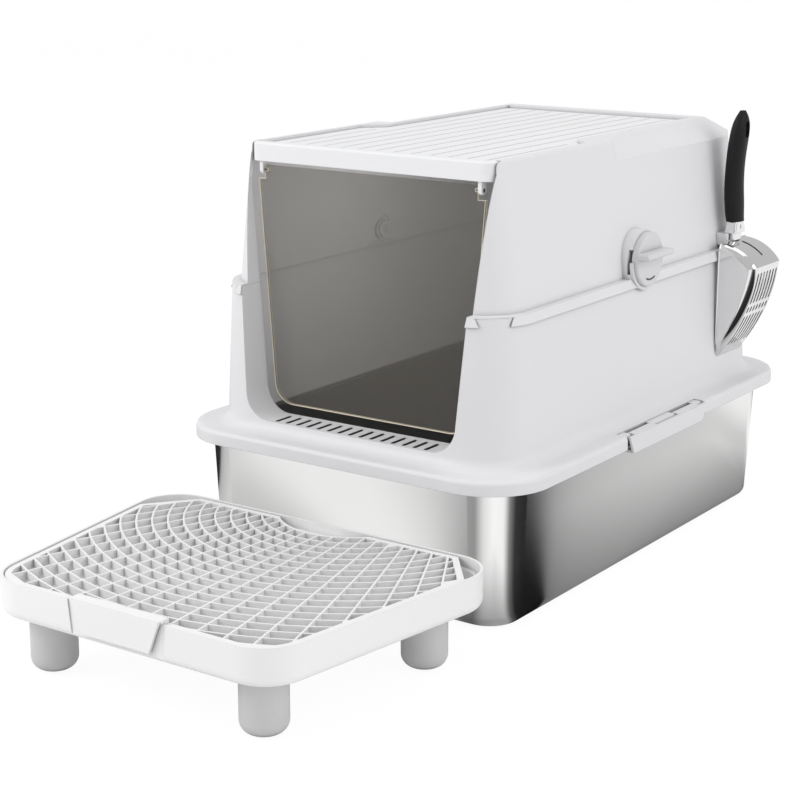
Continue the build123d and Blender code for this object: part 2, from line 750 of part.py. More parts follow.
with BuildPart() as flap_door:
    with BuildSketch(Plane.XZ.offset(-flap_y - flap_sheet / 2)) as flap_face:
        Polygon(
            (-flap_half_bottom, flap_bottom),
            (flap_half_bottom, flap_bottom),
            (flap_half_shoulder, shoulder_z),
            (flap_half_upper, shoulder_z),
            (flap_half_upper, flap_axle_z + flap_top),
            (-flap_half_upper, flap_axle_z + flap_top),
            (-flap_half_upper, shoulder_z),
            (-flap_half_shoulder, shoulder_z),
            align=None,
        )
        fillet(flap_face.vertices().group_by(Axis.Y)[0], radius=flap_corner)
    extrude(amount=flap_sheet)
    for side in (-1, 1):
        with BuildSketch(Plane.YZ.offset(side * (flap_half_upper - flap_sheet))):
            with Locations((flap_y, flap_axle_z)):
                Circle(flap_axle_radius)
        extrude(amount=side * (flap_sheet + lug_gap + lug_thick))
flap_door.part.label = "flap_door"
export_step(flap_door.part, "parts/flap_door.step")

# Scoop: a slotted sheet bowl with a tang, hung by its collar in a fork on the hood
scoop_y = foot_length / 2 - scoop_set_in
rim_x = lower_top_width / 2 + band_stand + scoop_off_band
bowl_top = band_bottom + band_height + scoop_rise
bowl_bottom = bowl_top - scoop_bowl
tang_top = bowl_top + tang_length
fork_bottom = bowl_top - fork_drop
fork_top = fork_bottom + fork_height
ferrule_bottom = bowl_top + seat_gap
collar_bottom = fork_top + seat_gap
ferrule_top = collar_bottom + collar_height
ferrule_x = rim_x + scoop_sheet / 2
scoop_plane = Plane.XZ.offset(scoop_width / 2 - scoop_y)


def bowl_side(inset):
    """Side view of the bowl: arched shoulder, nearly straight belly and the open rim."""
    rim_high = bowl_top - inset
    rim_low = bowl_bottom + 2 * inset
    knee = (rim_x + scoop_depth - inset, bowl_top - shoulder_drop)
    arch = (rim_x + scoop_depth * arch_shares[0] - inset, bowl_top - shoulder_drop * arch_shares[1] - inset)
    belly = (rim_x + (scoop_depth - inset) * belly_share, (rim_low + knee[1]) / 2)
    with BuildSketch(scoop_plane.offset(-inset)) as side_view:
        with BuildLine():
            ThreePointArc((rim_x, rim_high), arch, knee)
            ThreePointArc(knee, belly, (rim_x, rim_low))
            Line((rim_x, rim_low), (rim_x, rim_high))
        make_face()
    return side_view.sketch


bowl_outline = bowl_side(0)
bowl_inline = bowl_side(scoop_sheet)
with BuildPart() as bowl_space:
    extrude(bowl_inline, amount=-(scoop_width - 2 * scoop_sheet))
    fillet(bowl_space.edges().filter_by(GeomType.CIRCLE), radius=scoop_edge - scoop_sheet)

rivet_z = (collar_bottom + ferrule_top) / 2
with BuildPart() as rivet_bore:
    with BuildSketch(Plane.YZ.offset(ferrule_x - ferrule_depth)):
        with Locations((scoop_y, rivet_z)):
            Circle(rivet_radius + pin_clearance)
    extrude(amount=2 * ferrule_depth)

with BuildPart() as scoop_blade:
    extrude(bowl_outline, amount=-scoop_width)
    fillet(scoop_blade.edges().filter_by(GeomType.CIRCLE), radius=scoop_edge)
    add(bowl_space.part, mode=Mode.SUBTRACT)
    with BuildSketch(Plane.YZ.offset(rim_x)):
        with Locations((scoop_y, tang_top)):
            Rectangle(tang_width, tang_length + 2 * scoop_sheet, align=(Align.CENTER, Align.MAX))
    extrude(amount=scoop_sheet)
    slot_upper = bowl_top - scoop_slot_top - scoop_slot_length / 2
    slot_step = scoop_slot_length + scoop_slot_gap
    with BuildSketch(Plane.YZ.offset(rim_x + scoop_sheet)):
        with Locations((scoop_y, slot_upper - slot_step / 2)):
            with GridLocations(scoop_slot_pitch, slot_step, scoop_slot_count, 2):
                SlotOverall(scoop_slot_length, scoop_slot_width, rotation=90)
            with GridLocations(scoop_slot_pitch, slot_step, scoop_slot_count, 1):
                SlotOverall(short_slot_length, scoop_slot_width, rotation=90)
    extrude(amount=scoop_depth + overrun, mode=Mode.SUBTRACT)
    add(rivet_bore.part, mode=Mode.SUBTRACT)
scoop_blade.part.label = "scoop_blade"
export_step(scoop_blade.part, "parts/scoop_blade.step")

with BuildPart() as tang_slot:
    with BuildSketch(Plane.YZ.offset(rim_x - pin_clearance)):
        with Locations((scoop_y, (bowl_top + tang_top) / 2)):
            Rectangle(tang_width + 2 * pin_clearance, tang_top - bowl_top + 2 * pin_clearance)
    extrude(amount=scoop_sheet + 2 * pin_clearance)

with BuildPart() as scoop_rivet:
    with BuildSketch(Plane.YZ.offset(ferrule_x - collar_depth / 2)):
        with Locations((scoop_y, rivet_z)):
            Circle(rivet_radius)
    extrude(amount=collar_depth - rivet_set_in)
    with BuildSketch(Plane.YZ.offset(ferrule_x - collar_depth / 2)):
        with Locations((scoop_y, rivet_z)):
            Circle(rivet_head_radius)
    extrude(amount=-rivet_head)
    fillet(scoop_rivet.faces().sort_by(Axis.X)[0].edges(), radius=rivet_head / 2)
scoop_rivet.part.label = "scoop_rivet"
export_step(scoop_rivet.part, "parts/scoop_rivet.step")

flare = ((collar_bottom, collar_depth, collar_width), (ferrule_top, neck_depth, neck_width))
with BuildPart() as scoop_ferrule:
    with BuildSketch(Plane.XY.offset(ferrule_bottom)):
        with Locations((ferrule_x, scoop_y)):
            RectangleRounded(ferrule_depth, ferrule_width, ferrule_round)
    extrude(amount=collar_bottom - ferrule_bottom)
    for level, depth, width in flare:
        with BuildSketch(Plane.XY.offset(level)):
            with Locations((ferrule_x, scoop_y)):
                RectangleRounded(depth, width, ferrule_round)
    loft(ruled=True)
    add(tang_slot.part, mode=Mode.SUBTRACT)
    add(rivet_bore.part, mode=Mode.SUBTRACT)
scoop_ferrule.part.label = "scoop_ferrule"
export_step(scoop_ferrule.part, "parts/scoop_ferrule.step")

grip_bottom = ferrule_top
grip_top = grip_bottom + grip_length
with BuildPart() as scoop_grip:
    for along, shift, broad, thick in grip_shares:
        with BuildSketch(Plane.XY.offset(grip_bottom + along * grip_length)):
            with Locations((ferrule_x + shift * grip_thick, scoop_y)):
                Ellipse(thick * grip_thick / 2, broad * grip_width / 2)
    loft()
    with BuildSketch(Plane.YZ.offset(ferrule_x - grip_thick)):
        with Locations((scoop_y, grip_top - grip_hole_down)):
            SlotOverall(grip_hole_length, 2 * grip_hole_radius, rotation=90)
    extrude(amount=2 * grip_thick, mode=Mode.SUBTRACT)
    add(tang_slot.part, mode=Mode.SUBTRACT)
scoop_grip.part.label = "scoop_grip"
export_step(scoop_grip.part, "parts/scoop_grip.step")

with BuildPart() as scoop_holder:
    with BuildSketch(Plane.XY.offset(fork_bottom)) as fork_plan:
        fork_width = ferrule_width + 2 * fork_gap + 2 * fork_wall
        fork_front = ferrule_x - fork_short
        fork_root = ferrule_x - ferrule_depth / 2 - fork_gap
        with Locations((fork_front, scoop_y)):
            Rectangle(fork_front, fork_width, align=(Align.MAX, Align.CENTER))
        with Locations((fork_front, scoop_y)):
            Rectangle(
                fork_front - fork_root,
                ferrule_width + 2 * fork_gap,
                align=(Align.MAX, Align.CENTER),
                mode=Mode.SUBTRACT,
            )
        fillet(fork_plan.vertices().group_by(Axis.X)[-1], radius=fork_round)
    extrude(amount=fork_height)
    add(hood_outside, mode=Mode.SUBTRACT)
scoop_holder.part.label = "scoop_holder"
export_step(scoop_holder.part, "parts/scoop_holder.step")

# Entry step: a tray on four legs with a lift-out lattice
step_back = -flange_length / 2 - step_gap
step_front = step_back - step_depth
step_top = step_floor + step_wall_height
tab_centre = step_centre - tab_shift


def step_outline(plane, inset):
    """Plan of the tray: wider towards the box, with rounded corners, set in all round."""
    with BuildSketch(plane) as outline:
        Polygon(
            (step_centre - step_front_width / 2, step_front),
            (step_centre + step_front_width / 2, step_front),
            (step_centre + step_back_width / 2, step_back),
            (step_centre - step_back_width / 2, step_back),
            align=None,
        )
        fillet(outline.vertices().group_by(Axis.Y)[0], radius=step_front_corner)
        fillet(outline.vertices().group_by(Axis.Y)[-1], radius=step_back_corner)
        if inset:
            offset(amount=-inset, mode=Mode.REPLACE)
    return outline.sketch


leg_places = {
    "front_left": (step_centre - leg_front_spread / 2, step_front + leg_inset_front),
    "front_right": (step_centre + leg_front_spread / 2, step_front + leg_inset_front),
    "back_left": (step_centre - leg_back_spread / 2, step_back - leg_inset_back),
    "back_right": (step_centre + leg_back_spread / 2, step_back - leg_inset_back),
}
tray_outline = step_outline(Plane.XY.offset(step_floor), 0)
tray_inline = step_outline(Plane.XY.offset(step_floor + step_floor_plate), step_wall)
ledge_outline = step_outline(Plane.XY.offset(step_floor + step_floor_plate), step_wall)
ledge_inline = step_outline(Plane.XY.offset(step_floor + step_floor_plate), step_wall + grid_ledge_width)
grid_top = step_top - grid_sunk
grid_under = grid_top - grid_depth
ledge_height = grid_under - seat_gap - step_floor - step_floor_plate

with BuildPart() as step_tray:
    add(tray_outline)
    extrude(amount=step_wall_height)
    fillet(step_tray.faces().sort_by(Axis.Z)[0].edges(), radius=step_bottom_radius)
    add(tray_inline)
    extrude(amount=step_wall_height, mode=Mode.SUBTRACT)
    with BuildSketch(Plane.XY.offset(step_floor + step_floor_plate)):
        add(ledge_outline)
        add(ledge_inline, mode=Mode.SUBTRACT)
    extrude(amount=ledge_height)
    with BuildSketch(Plane.XY.offset(step_floor + step_floor_plate)):
        with Locations(*leg_places.values()):
            Circle(spigot_radius + socket_wall)
    extrude(amount=spigot_height)
    with BuildSketch(Plane.XY.offset(step_floor)):
        with Locations(*leg_places.values()):
            Circle(spigot_radius + pin_clearance)
    extrude(amount=spigot_height, mode=Mode.SUBTRACT)
    with BuildSketch(Plane.XZ.offset(-step_front)):
        Polygon(
            (tab_centre - tab_length / 2 - tab_recess, step_top + overrun),
            (tab_centre + tab_length / 2 + tab_recess, step_top + overrun),
            (tab_centre + tab_length / 2, step_floor - overrun),
            (tab_centre - tab_length / 2, step_floor - overrun),
            align=None,
        )
    extrude(amount=-step_wall / 2, mode=Mode.SUBTRACT)
step_tray.part.label = "step_tray"
export_step(step_tray.part, "parts/step_tray.step")

for leg_name, leg_place in leg_places.items():
    with BuildPart() as step_leg:
        with BuildSketch():
            with Locations(leg_place):
                Circle(leg_radius)
        extrude(amount=step_floor)
        fillet(step_leg.faces().sort_by(Axis.Z)[0].edges(), radius=leg_foot_radius)
        with BuildSketch(Plane.XY.offset(step_floor)):
            with Locations(leg_place):
                Circle(spigot_radius)
        extrude(amount=spigot_height - seat_gap)
    step_leg.part.label = f"step_leg_{leg_name}"
    export_step(step_leg.part, f"parts/step_leg_{leg_name}.step")

# Lattice: straight rays from one focus crossed by arcs about a nearer one
def lattice_point(radius, angle, aside):
    """Where a line beside a ray crosses an arc; angle 0 points straight to the front."""
    run_x = math.sin(angle)
    run_y = -math.cos(angle)
    start_x = aside * math.cos(angle)
    start_y = grid_ray_focus - grid_arc_focus + aside * math.sin(angle)
    half = start_x * run_x + start_y * run_y
    under = radius**2 - start_x**2 - start_y**2 + half**2
    if under <= 0:
        return None
    reach = math.sqrt(under) - half
    return (step_centre + start_x + reach * run_x, step_back + grid_arc_focus + start_y + reach * run_y)


def lattice_cell(ring, ray):
    """Corners of one open cell, half a bar inside the lattice lines."""
    inner = grid_arc_first + ring * grid_arc_step + grid_bar / 2
    outer = inner + grid_arc_step - grid_bar
    first = math.radians((ray - (grid_rays - 1) / 2) * grid_ray_step + grid_ray_shift)
    last = first + math.radians(grid_ray_step)
    return [
        lattice_point(inner, first, grid_bar / 2),
        lattice_point(inner, last, -grid_bar / 2),
        lattice_point(outer, last, -grid_bar / 2),
        lattice_point(outer, first, grid_bar / 2),
    ]


grid_plane = Plane.XY.offset(grid_under)
grid_outside = step_outline(grid_plane, step_wall + grid_gap)
grid_inside = step_outline(grid_plane, step_wall + grid_gap + grid_frame)
grid_rear = step_back - step_wall - grid_gap


def corner_cut(plane, inset):
    """The two cut-off back corners, moved in by the frame."""
    side_x = step_back_width / 2
    slant = math.hypot(grid_bevel_width, grid_bevel_depth)
    width = grid_bevel_width + inset * slant / grid_bevel_depth
    depth = grid_bevel_depth + inset * slant / grid_bevel_width
    with BuildSketch(plane) as cut:
        for side in (-1, 1):
            Polygon(
                (step_centre + side * side_x, grid_rear - depth),
                (step_centre + side * (side_x - width), grid_rear),
                (step_centre + side * (side_x - width), grid_rear + overrun),
                (step_centre + side * (side_x + overrun), grid_rear + overrun),
                (step_centre + side * (side_x + overrun), grid_rear - depth),
                align=None,
            )
    return cut.sketch


corners_outside = corner_cut(grid_plane, 0)
corners_inside = corner_cut(grid_plane, grid_frame)
lattice = [lattice_cell(ring, ray) for ring in range(grid_arcs) for ray in range(grid_rays - 1)]
cell_faces = [make_face(Polyline(*cell, close=True)) for cell in lattice if None not in cell]

with BuildSketch(grid_plane) as cells:
    add([grid_plane * face for face in cell_faces])
    add(grid_inside, mode=Mode.INTERSECT)
    add(corners_inside, mode=Mode.SUBTRACT)

open_cells = [face for face in cells.sketch.faces() if face.area > least_cell]

with BuildPart() as step_grid:
    with BuildSketch(grid_plane):
        add(grid_outside)
        add(corners_outside, mode=Mode.SUBTRACT)
        with Locations((step_centre, step_back + grid_arc_focus)):
            Circle(grid_arc_first - grid_bar, mode=Mode.SUBTRACT)
        add(open_cells, mode=Mode.SUBTRACT)
    extrude(amount=grid_depth)
step_grid.part.label = "step_grid"
export_step(step_grid.part, "parts/step_grid.step")

# Lifting tab: stands on the grid's front frame, crosses the tray's wall and hangs down outside it
with BuildPart() as grid_tab:
    with BuildSketch(Plane.XZ.offset(-step_front + seat_gap)):
        Polygon(
            (tab_centre - tab_foot_length / 2, step_top - tab_drop),
            (tab_centre + tab_foot_length / 2, step_top - tab_drop),
            (tab_centre + tab_length / 2, step_top + seat_gap + tab_plate),
            (tab_centre - tab_length / 2, step_top + seat_gap + tab_plate),
            align=None,
        )
    extrude(amount=tab_plate)
    tab_back = step_front + step_wall + grid_gap + grid_frame
    with BuildSketch(Plane.XY.offset(step_top + seat_gap)):
        with Locations((tab_centre, step_front - seat_gap)):
            Rectangle(tab_length, tab_back - step_front + seat_gap, align=(Align.CENTER, Align.MIN))
    extrude(amount=tab_plate)
    with BuildSketch(Plane.XY.offset(grid_top)):
        with Locations((tab_centre, tab_back - grid_frame)):
            Rectangle(tab_length, grid_frame, align=(Align.CENTER, Align.MIN))
    extrude(amount=step_top + seat_gap - grid_top)
grid_tab.part.label = "grid_tab"
export_step(grid_tab.part, "parts/grid_tab.step")
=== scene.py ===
# %% [markdown]
# # A steel litter box with its hood, scoop and step
# The CAD model is the frame of this scene. Every solid comes in at its real place, in metres, and stays
# where it is. What is left for Blender is the finish: moulded plastic, pressed steel, smoked sheet and
# rubber, some fine trim, the light of a small studio, and a camera that stands where the photographer stood.

# %% Load the frame
import math

import bpy
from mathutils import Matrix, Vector


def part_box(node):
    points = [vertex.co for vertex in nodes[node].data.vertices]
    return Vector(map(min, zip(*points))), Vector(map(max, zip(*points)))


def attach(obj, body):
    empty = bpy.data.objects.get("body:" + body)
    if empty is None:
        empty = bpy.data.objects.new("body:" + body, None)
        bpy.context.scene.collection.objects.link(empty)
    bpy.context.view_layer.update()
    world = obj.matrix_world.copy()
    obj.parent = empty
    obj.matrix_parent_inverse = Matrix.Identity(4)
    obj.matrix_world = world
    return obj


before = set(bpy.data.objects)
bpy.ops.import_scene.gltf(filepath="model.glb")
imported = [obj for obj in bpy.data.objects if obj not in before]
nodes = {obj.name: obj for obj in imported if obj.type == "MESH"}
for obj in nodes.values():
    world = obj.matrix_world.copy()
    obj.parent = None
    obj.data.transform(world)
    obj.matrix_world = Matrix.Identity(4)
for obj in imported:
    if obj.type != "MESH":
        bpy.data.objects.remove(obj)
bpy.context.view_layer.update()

# %% [markdown]
# ## The camera
# The photograph was taken from the right of the front, a little above the roof. The place, the turn and the
# lens were fitted to the outlines of the flange, the roof and the step, so nothing needs a shift.

# %% Camera
IMAGE_WIDTH = 789
SENSOR = 36.0
FOCAL_PIXELS = 1896.86
CAMERA_PLACE = (1.0330, -1.6699, 0.6497)
LEVEL_LOOK = 90.0
LOOK_DOWN = 14.425
LOOK_TURN = 35.004


def link(thing):
    bpy.context.scene.collection.objects.link(thing)
    return thing


camera_data = bpy.data.cameras.new("photo_camera")
camera_data.sensor_width = SENSOR
camera_data.lens = FOCAL_PIXELS * SENSOR / IMAGE_WIDTH
camera = link(bpy.data.objects.new("photo_camera", camera_data))
camera.location = CAMERA_PLACE
camera.rotation_euler = (math.radians(LEVEL_LOOK - LOOK_DOWN), 0.0, math.radians(LOOK_TURN))
bpy.context.scene.camera = camera
bpy.context.scene.view_settings.view_transform = "Standard"
print("lens:", round(camera_data.lens, 2), "mm")

# %% [markdown]
# ## A short way to write node trees
# A material is a graph. Writing each link by hand hides what it does, so a few helpers add a node with its
# settings, join two sockets and start a shader group. Everything below is made with them.

# %% Node helpers
FLOAT = "NodeSocketFloat"
VECTOR = "NodeSocketVector"


def add_node(tree, kind, **settings):
    """Adds a node; a setting that names an input socket sets its value, any other sets a property."""
    node = tree.nodes.new(kind)
    for name, value in settings.items():
        socket = node.inputs.get(name.replace("_", " "))
        if socket is not None and not hasattr(node, name):
            socket.default_value = value
        else:
            setattr(node, name, value)
    return node


def join(tree, start, end):
    tree.links.new(start, end)


def new_group(name, inputs, outputs):
    """An empty shader group with named numbers in and named outputs, and its two end nodes."""
    tree = bpy.data.node_groups.new(name, "ShaderNodeTree")
    for label, value in inputs.items():
        socket = tree.interface.new_socket(label, in_out="INPUT", socket_type=FLOAT)
        socket.default_value = value
    for label, kind in outputs.items():
        tree.interface.new_socket(label, in_out="OUTPUT", socket_type=kind)
    return tree, tree.nodes.new("NodeGroupInput"), tree.nodes.new("NodeGroupOutput")


# %% [markdown]
# ## Moulded grain, a group for every plastic
# A steel mould is spark-eroded, and the plastic copies its fine grain. Over a whole wall the melt also
# flows and cools unevenly, so gloss drifts by a few percent. The group gives both: a fine height for the
# bump and a broad drift for roughness and shade. It reads Object coordinates, because a CAD node has no UVs.

# %% Group: moulded grain
NOISE_MIDDLE = 0.5
grain, grain_in, grain_out = new_group(
    "moulded_grain", {"Grain Scale": 1600.0, "Drift Scale": 7.0, "Base Roughness": 0.42, "Drift": 0.08},
    {"Height": FLOAT, "Roughness": FLOAT, "Shade": FLOAT})
coords = add_node(grain, "ShaderNodeTexCoord")
fine = add_node(grain, "ShaderNodeTexNoise", Detail=2.0)
broad = add_node(grain, "ShaderNodeTexNoise", Detail=3.0)
centred = add_node(grain, "ShaderNodeMath", operation="SUBTRACT")
centred.inputs[1].default_value = NOISE_MIDDLE
spread = add_node(grain, "ShaderNodeMath", operation="MULTIPLY_ADD")
join(grain, coords.outputs["Object"], fine.inputs["Vector"])
join(grain, coords.outputs["Object"], broad.inputs["Vector"])
join(grain, grain_in.outputs["Grain Scale"], fine.inputs["Scale"])
join(grain, grain_in.outputs["Drift Scale"], broad.inputs["Scale"])
join(grain, broad.outputs["Fac"], centred.inputs[0])
join(grain, centred.outputs[0], spread.inputs[0])
join(grain, grain_in.outputs["Drift"], spread.inputs[1])
join(grain, grain_in.outputs["Base Roughness"], spread.inputs[2])
join(grain, fine.outputs["Fac"], grain_out.inputs["Height"])
join(grain, spread.outputs[0], grain_out.inputs["Roughness"])
join(grain, broad.outputs["Fac"], grain_out.inputs["Shade"])
print("group:", grain.name)

# %% [markdown]
# ## Softened edges, a group for every hard piece
# No moulded or pressed edge is a knife edge: it turns over a fraction of a millimetre and catches a thin
# highlight. Cutting that radius into each solid would cost thousands of faces. The Bevel node bends the
# shading normal there instead.

# %% Group: softened edges
edges, edges_in, edges_out = new_group("softened_edges", {"Radius": 0.0008}, {"Normal": VECTOR})
rounder = add_node(edges, "ShaderNodeBevel", samples=4)
join(edges, edges_in.outputs["Radius"], rounder.inputs["Radius"])
join(edges, rounder.outputs["Normal"], edges_out.inputs["Normal"])
print("group:", edges.name)

# %% [markdown]
# ## Painted pocket shade, a group for the plastics
# Seams, slots and the cells of the lattice are deep, and the photograph draws them clearly darker than the
# open faces. The Ambient Occlusion node asks how much of the near space round a point is filled, so its
# answer is a mask of the pockets, the same from every side. The plastics darken their colour by that mask:
# painted shade.

# %% Group: painted pocket shade
OPEN_SPACE = 0.85
FILLED_SPACE = 0.10
pocket, pocket_in, pocket_out = new_group("painted_shade_in_pockets", {"Reach": 0.012}, {"Pocket": FLOAT})
closeness = add_node(pocket, "ShaderNodeAmbientOcclusion", samples=6)
depth = add_node(pocket, "ShaderNodeMapRange", interpolation_type="SMOOTHSTEP")
depth.inputs["From Min"].default_value = OPEN_SPACE
depth.inputs["From Max"].default_value = FILLED_SPACE
join(pocket, pocket_in.outputs["Reach"], closeness.inputs["Distance"])
join(pocket, closeness.outputs["AO"], depth.inputs["Value"])
join(pocket, depth.outputs["Result"], pocket_out.inputs["Pocket"])
print("group:", pocket.name)

# %% [markdown]
# ## Brushed lines, a group for the sheet steel
# Sheet steel is finished with an abrasive belt before it is pressed, which leaves very long, very fine
# lines round the walls. Noise that is stretched along the sheet and squeezed across it gives them.

# %% Group: brushed lines
brush, brush_in, brush_out = new_group(
    "brushed_lines", {"Along": 3.0, "Across": 900.0, "Base Roughness": 0.2, "Spread": 0.14},
    {"Height": FLOAT, "Roughness": FLOAT, "Shade": FLOAT})
coords = add_node(brush, "ShaderNodeTexCoord")
stretch = add_node(brush, "ShaderNodeCombineXYZ")
place = add_node(brush, "ShaderNodeVectorMath", operation="MULTIPLY")
lines = add_node(brush, "ShaderNodeTexNoise", Scale=1.0, Detail=4.0, Roughness=0.7)
smear = add_node(brush, "ShaderNodeTexNoise", Scale=6.0, Detail=2.0)
spread = add_node(brush, "ShaderNodeMath", operation="MULTIPLY_ADD")
join(brush, brush_in.outputs["Along"], stretch.inputs["X"])
join(brush, brush_in.outputs["Along"], stretch.inputs["Y"])
join(brush, brush_in.outputs["Across"], stretch.inputs["Z"])
join(brush, coords.outputs["Object"], place.inputs[0])
join(brush, stretch.outputs[0], place.inputs[1])
join(brush, place.outputs[0], lines.inputs["Vector"])
join(brush, coords.outputs["Object"], smear.inputs["Vector"])
join(brush, lines.outputs["Fac"], spread.inputs[0])
join(brush, brush_in.outputs["Spread"], spread.inputs[1])
join(brush, brush_in.outputs["Base Roughness"], spread.inputs[2])
join(brush, lines.outputs["Fac"], brush_out.inputs["Height"])
join(brush, spread.outputs[0], brush_out.inputs["Roughness"])
join(brush, smear.outputs["Fac"], brush_out.inputs["Shade"])
print("group:", brush.name)

# %% [markdown]
# ## How a finish is put together
# Nearly every finish is the same short chain. A shade that drifts over the surface mixes two close colours,
# a group gives the roughness, and its fine height is a bump on top of the softened edges. Constant numbers
# are set on the shader's own sockets, so that an export keeps them.

# %% Shader helpers


def principled(name):
    material = bpy.data.materials.new(name)
    material.use_nodes = True
    return material, material.node_tree, material.node_tree.nodes["Principled BSDF"]


def place_group(tree, group, **values):
    """Places a group with its own values; an underscore in a name stands for a space."""
    node = tree.nodes.new("ShaderNodeGroup")
    node.node_tree = group
    for label, value in values.items():
        node.inputs[label.replace("_", " ")].default_value = value
    return node


def wire_colour(tree, shader, surface, colour):
    """Gives a shader its colour, and its roughness from the surface group."""
    join(tree, colour, shader.inputs["Base Color"])
    join(tree, surface.outputs["Roughness"], shader.inputs["Roughness"])


def wire_relief(tree, shader, surface, edge_radius, strength, height):
    """Gives a shader a fine bump from the surface group, on top of softened edges."""
    corner = place_group(tree, edges, Radius=edge_radius)
    relief = add_node(tree, "ShaderNodeBump", Strength=strength, Distance=height)
    join(tree, surface.outputs["Height"], relief.inputs["Height"])
    join(tree, corner.outputs["Normal"], relief.inputs["Normal"])
    join(tree, relief.outputs["Normal"], shader.inputs["Normal"])


# %% [markdown]
# ## Colours that vary
# No real surface has one flat colour. A Mix node goes between two close colours with a mask, or multiplies a
# colour by a shade where a mask is full. The node has sockets for several kinds of data, so the first helper
# finds those for colours.

# %% Colour helpers


def colour_mix(tree, **settings):
    """A node that mixes two colours, with its two colour inputs and its colour output."""
    mix = add_node(tree, "ShaderNodeMix", data_type="RGBA", **settings)
    first, second = [socket for socket in mix.inputs if socket.type == "RGBA"]
    mixed = [socket for socket in mix.outputs if socket.type == "RGBA"][0]
    return mix, first, second, mixed


def tint(tree, factor, low, high):
    """A colour that goes from low to high with a mask."""
    mix, first, second, mixed = colour_mix(tree)
    first.default_value = (*low, 1.0)
    second.default_value = (*high, 1.0)
    join(tree, factor, mix.inputs["Factor"])
    return mixed


def darken(tree, colour, mask, shade):
    """The colour, multiplied by a shade where the mask is full."""
    mix, first, second, mixed = colour_mix(tree, blend_type="MULTIPLY")
    second.default_value = (shade, shade, shade, 1.0)
    join(tree, colour, first)
    join(tree, mask, mix.inputs["Factor"])
    return mixed


# %% [markdown]
# ## The plastics
# Seven plastics differ only in colour, gloss, the radius of their edges and how dark the painted shade in
# their pockets is, so one function makes them all. The hood and the wall are a light cool white, the lid and
# the step a cleaner white, the knobs and the legs grey. The nearly black one is painted shade, drawn as beads
# for the fine grooves and the slit.

# %% Plastics
GRAIN_STRENGTH = 0.5
GRAIN_BUMP = 0.00002
PLASTIC_SPECULAR = 0.4
SHELL_LOW = (0.765, 0.765, 0.78)
SHELL_HIGH = (0.795, 0.795, 0.81)


def moulded_plastic(name, low, high, roughness, edge_radius, reach=0.008, shade=0.5):
    """A plastic between two close colours; reach and shade set how wide and dark its painted pocket shade is.
    """
    material, tree, shader = principled(name)
    surface = place_group(tree, grain, Base_Roughness=roughness)
    pocket_painted_shade = place_group(tree, pocket, Reach=reach)
    shader.inputs["Specular IOR Level"].default_value = PLASTIC_SPECULAR
    open_colour = tint(tree, surface.outputs["Shade"], low, high)
    # The pockets' colour is darkened by the mask: painted shade.
    wire_colour(tree, shader, surface, darken(tree, open_colour, pocket_painted_shade.outputs["Pocket"], shade))
    wire_relief(tree, shader, surface, edge_radius, GRAIN_STRENGTH, GRAIN_BUMP)
    return material


shell_plastic = moulded_plastic("shell_plastic", SHELL_LOW, SHELL_HIGH, roughness=0.46, edge_radius=0.0012)
# The wall's painted pocket shade is the darkest, for its slots and clip windows.
wall_plastic = moulded_plastic("wall_plastic", SHELL_LOW, SHELL_HIGH, roughness=0.46, edge_radius=0.0012,
                               reach=0.009, shade=0.16)
lid_plastic = moulded_plastic("lid_plastic", (0.85, 0.85, 0.865), (0.88, 0.88, 0.895), roughness=0.42,
                              edge_radius=0.0010, reach=0.005, shade=0.55)
knob_plastic = moulded_plastic("knob_plastic", (0.67, 0.67, 0.685), (0.70, 0.70, 0.715), roughness=0.38,
                               edge_radius=0.0006)
step_plastic = moulded_plastic("step_plastic", (0.90, 0.90, 0.90), (0.93, 0.93, 0.93), roughness=0.40,
                               edge_radius=0.0008, reach=0.020, shade=0.55)
leg_plastic = moulded_plastic("leg_plastic", (0.60, 0.60, 0.60), (0.63, 0.63, 0.635), roughness=0.50,
                              edge_radius=0.0012)
# The nearly black plastic is painted shade, for fine grooves and a slit.
painted_groove_shade = moulded_plastic("painted_groove_shade", (0.055, 0.055, 0.058), (0.075, 0.075, 0.078), roughness=0.55,
                              edge_radius=0.0003)
plastics = (shell_plastic, wall_plastic, lid_plastic, knob_plastic, step_plastic, leg_plastic, painted_groove_shade)
print("plastics:", [plastic.name for plastic in plastics])

# %% [markdown]
# ## Painted shade in the slots of the sill
# The slots of the entry sill open into the dark of the box, and the photograph shows them far darker than
# the sill, so their walls get painted shade. The mask is a box just under the sill's top face, where no other
# face shows than the slots' walls.

# %% Slots of the sill
SLOT_PAINTED_SHADE = 0.10
SLOT_BOX_LOW = Vector((-0.097, -0.2715, 0.1450))
SLOT_BOX_HIGH = Vector((0.097, -0.2465, 0.1618))


def larger_of(tree, first, second):
    """The larger of two values."""
    larger = add_node(tree, "ShaderNodeMath", operation="MAXIMUM")
    join(tree, first, larger.inputs[0])
    join(tree, second, larger.inputs[1])
    return larger.outputs[0]


def darken_shader(tree, mask, shade):
    """Darkens the colour that a shader already has where the mask is full."""
    socket = tree.nodes["Principled BSDF"].inputs["Base Color"]
    join(tree, darken(tree, socket.links[0].from_socket, mask, shade), socket)


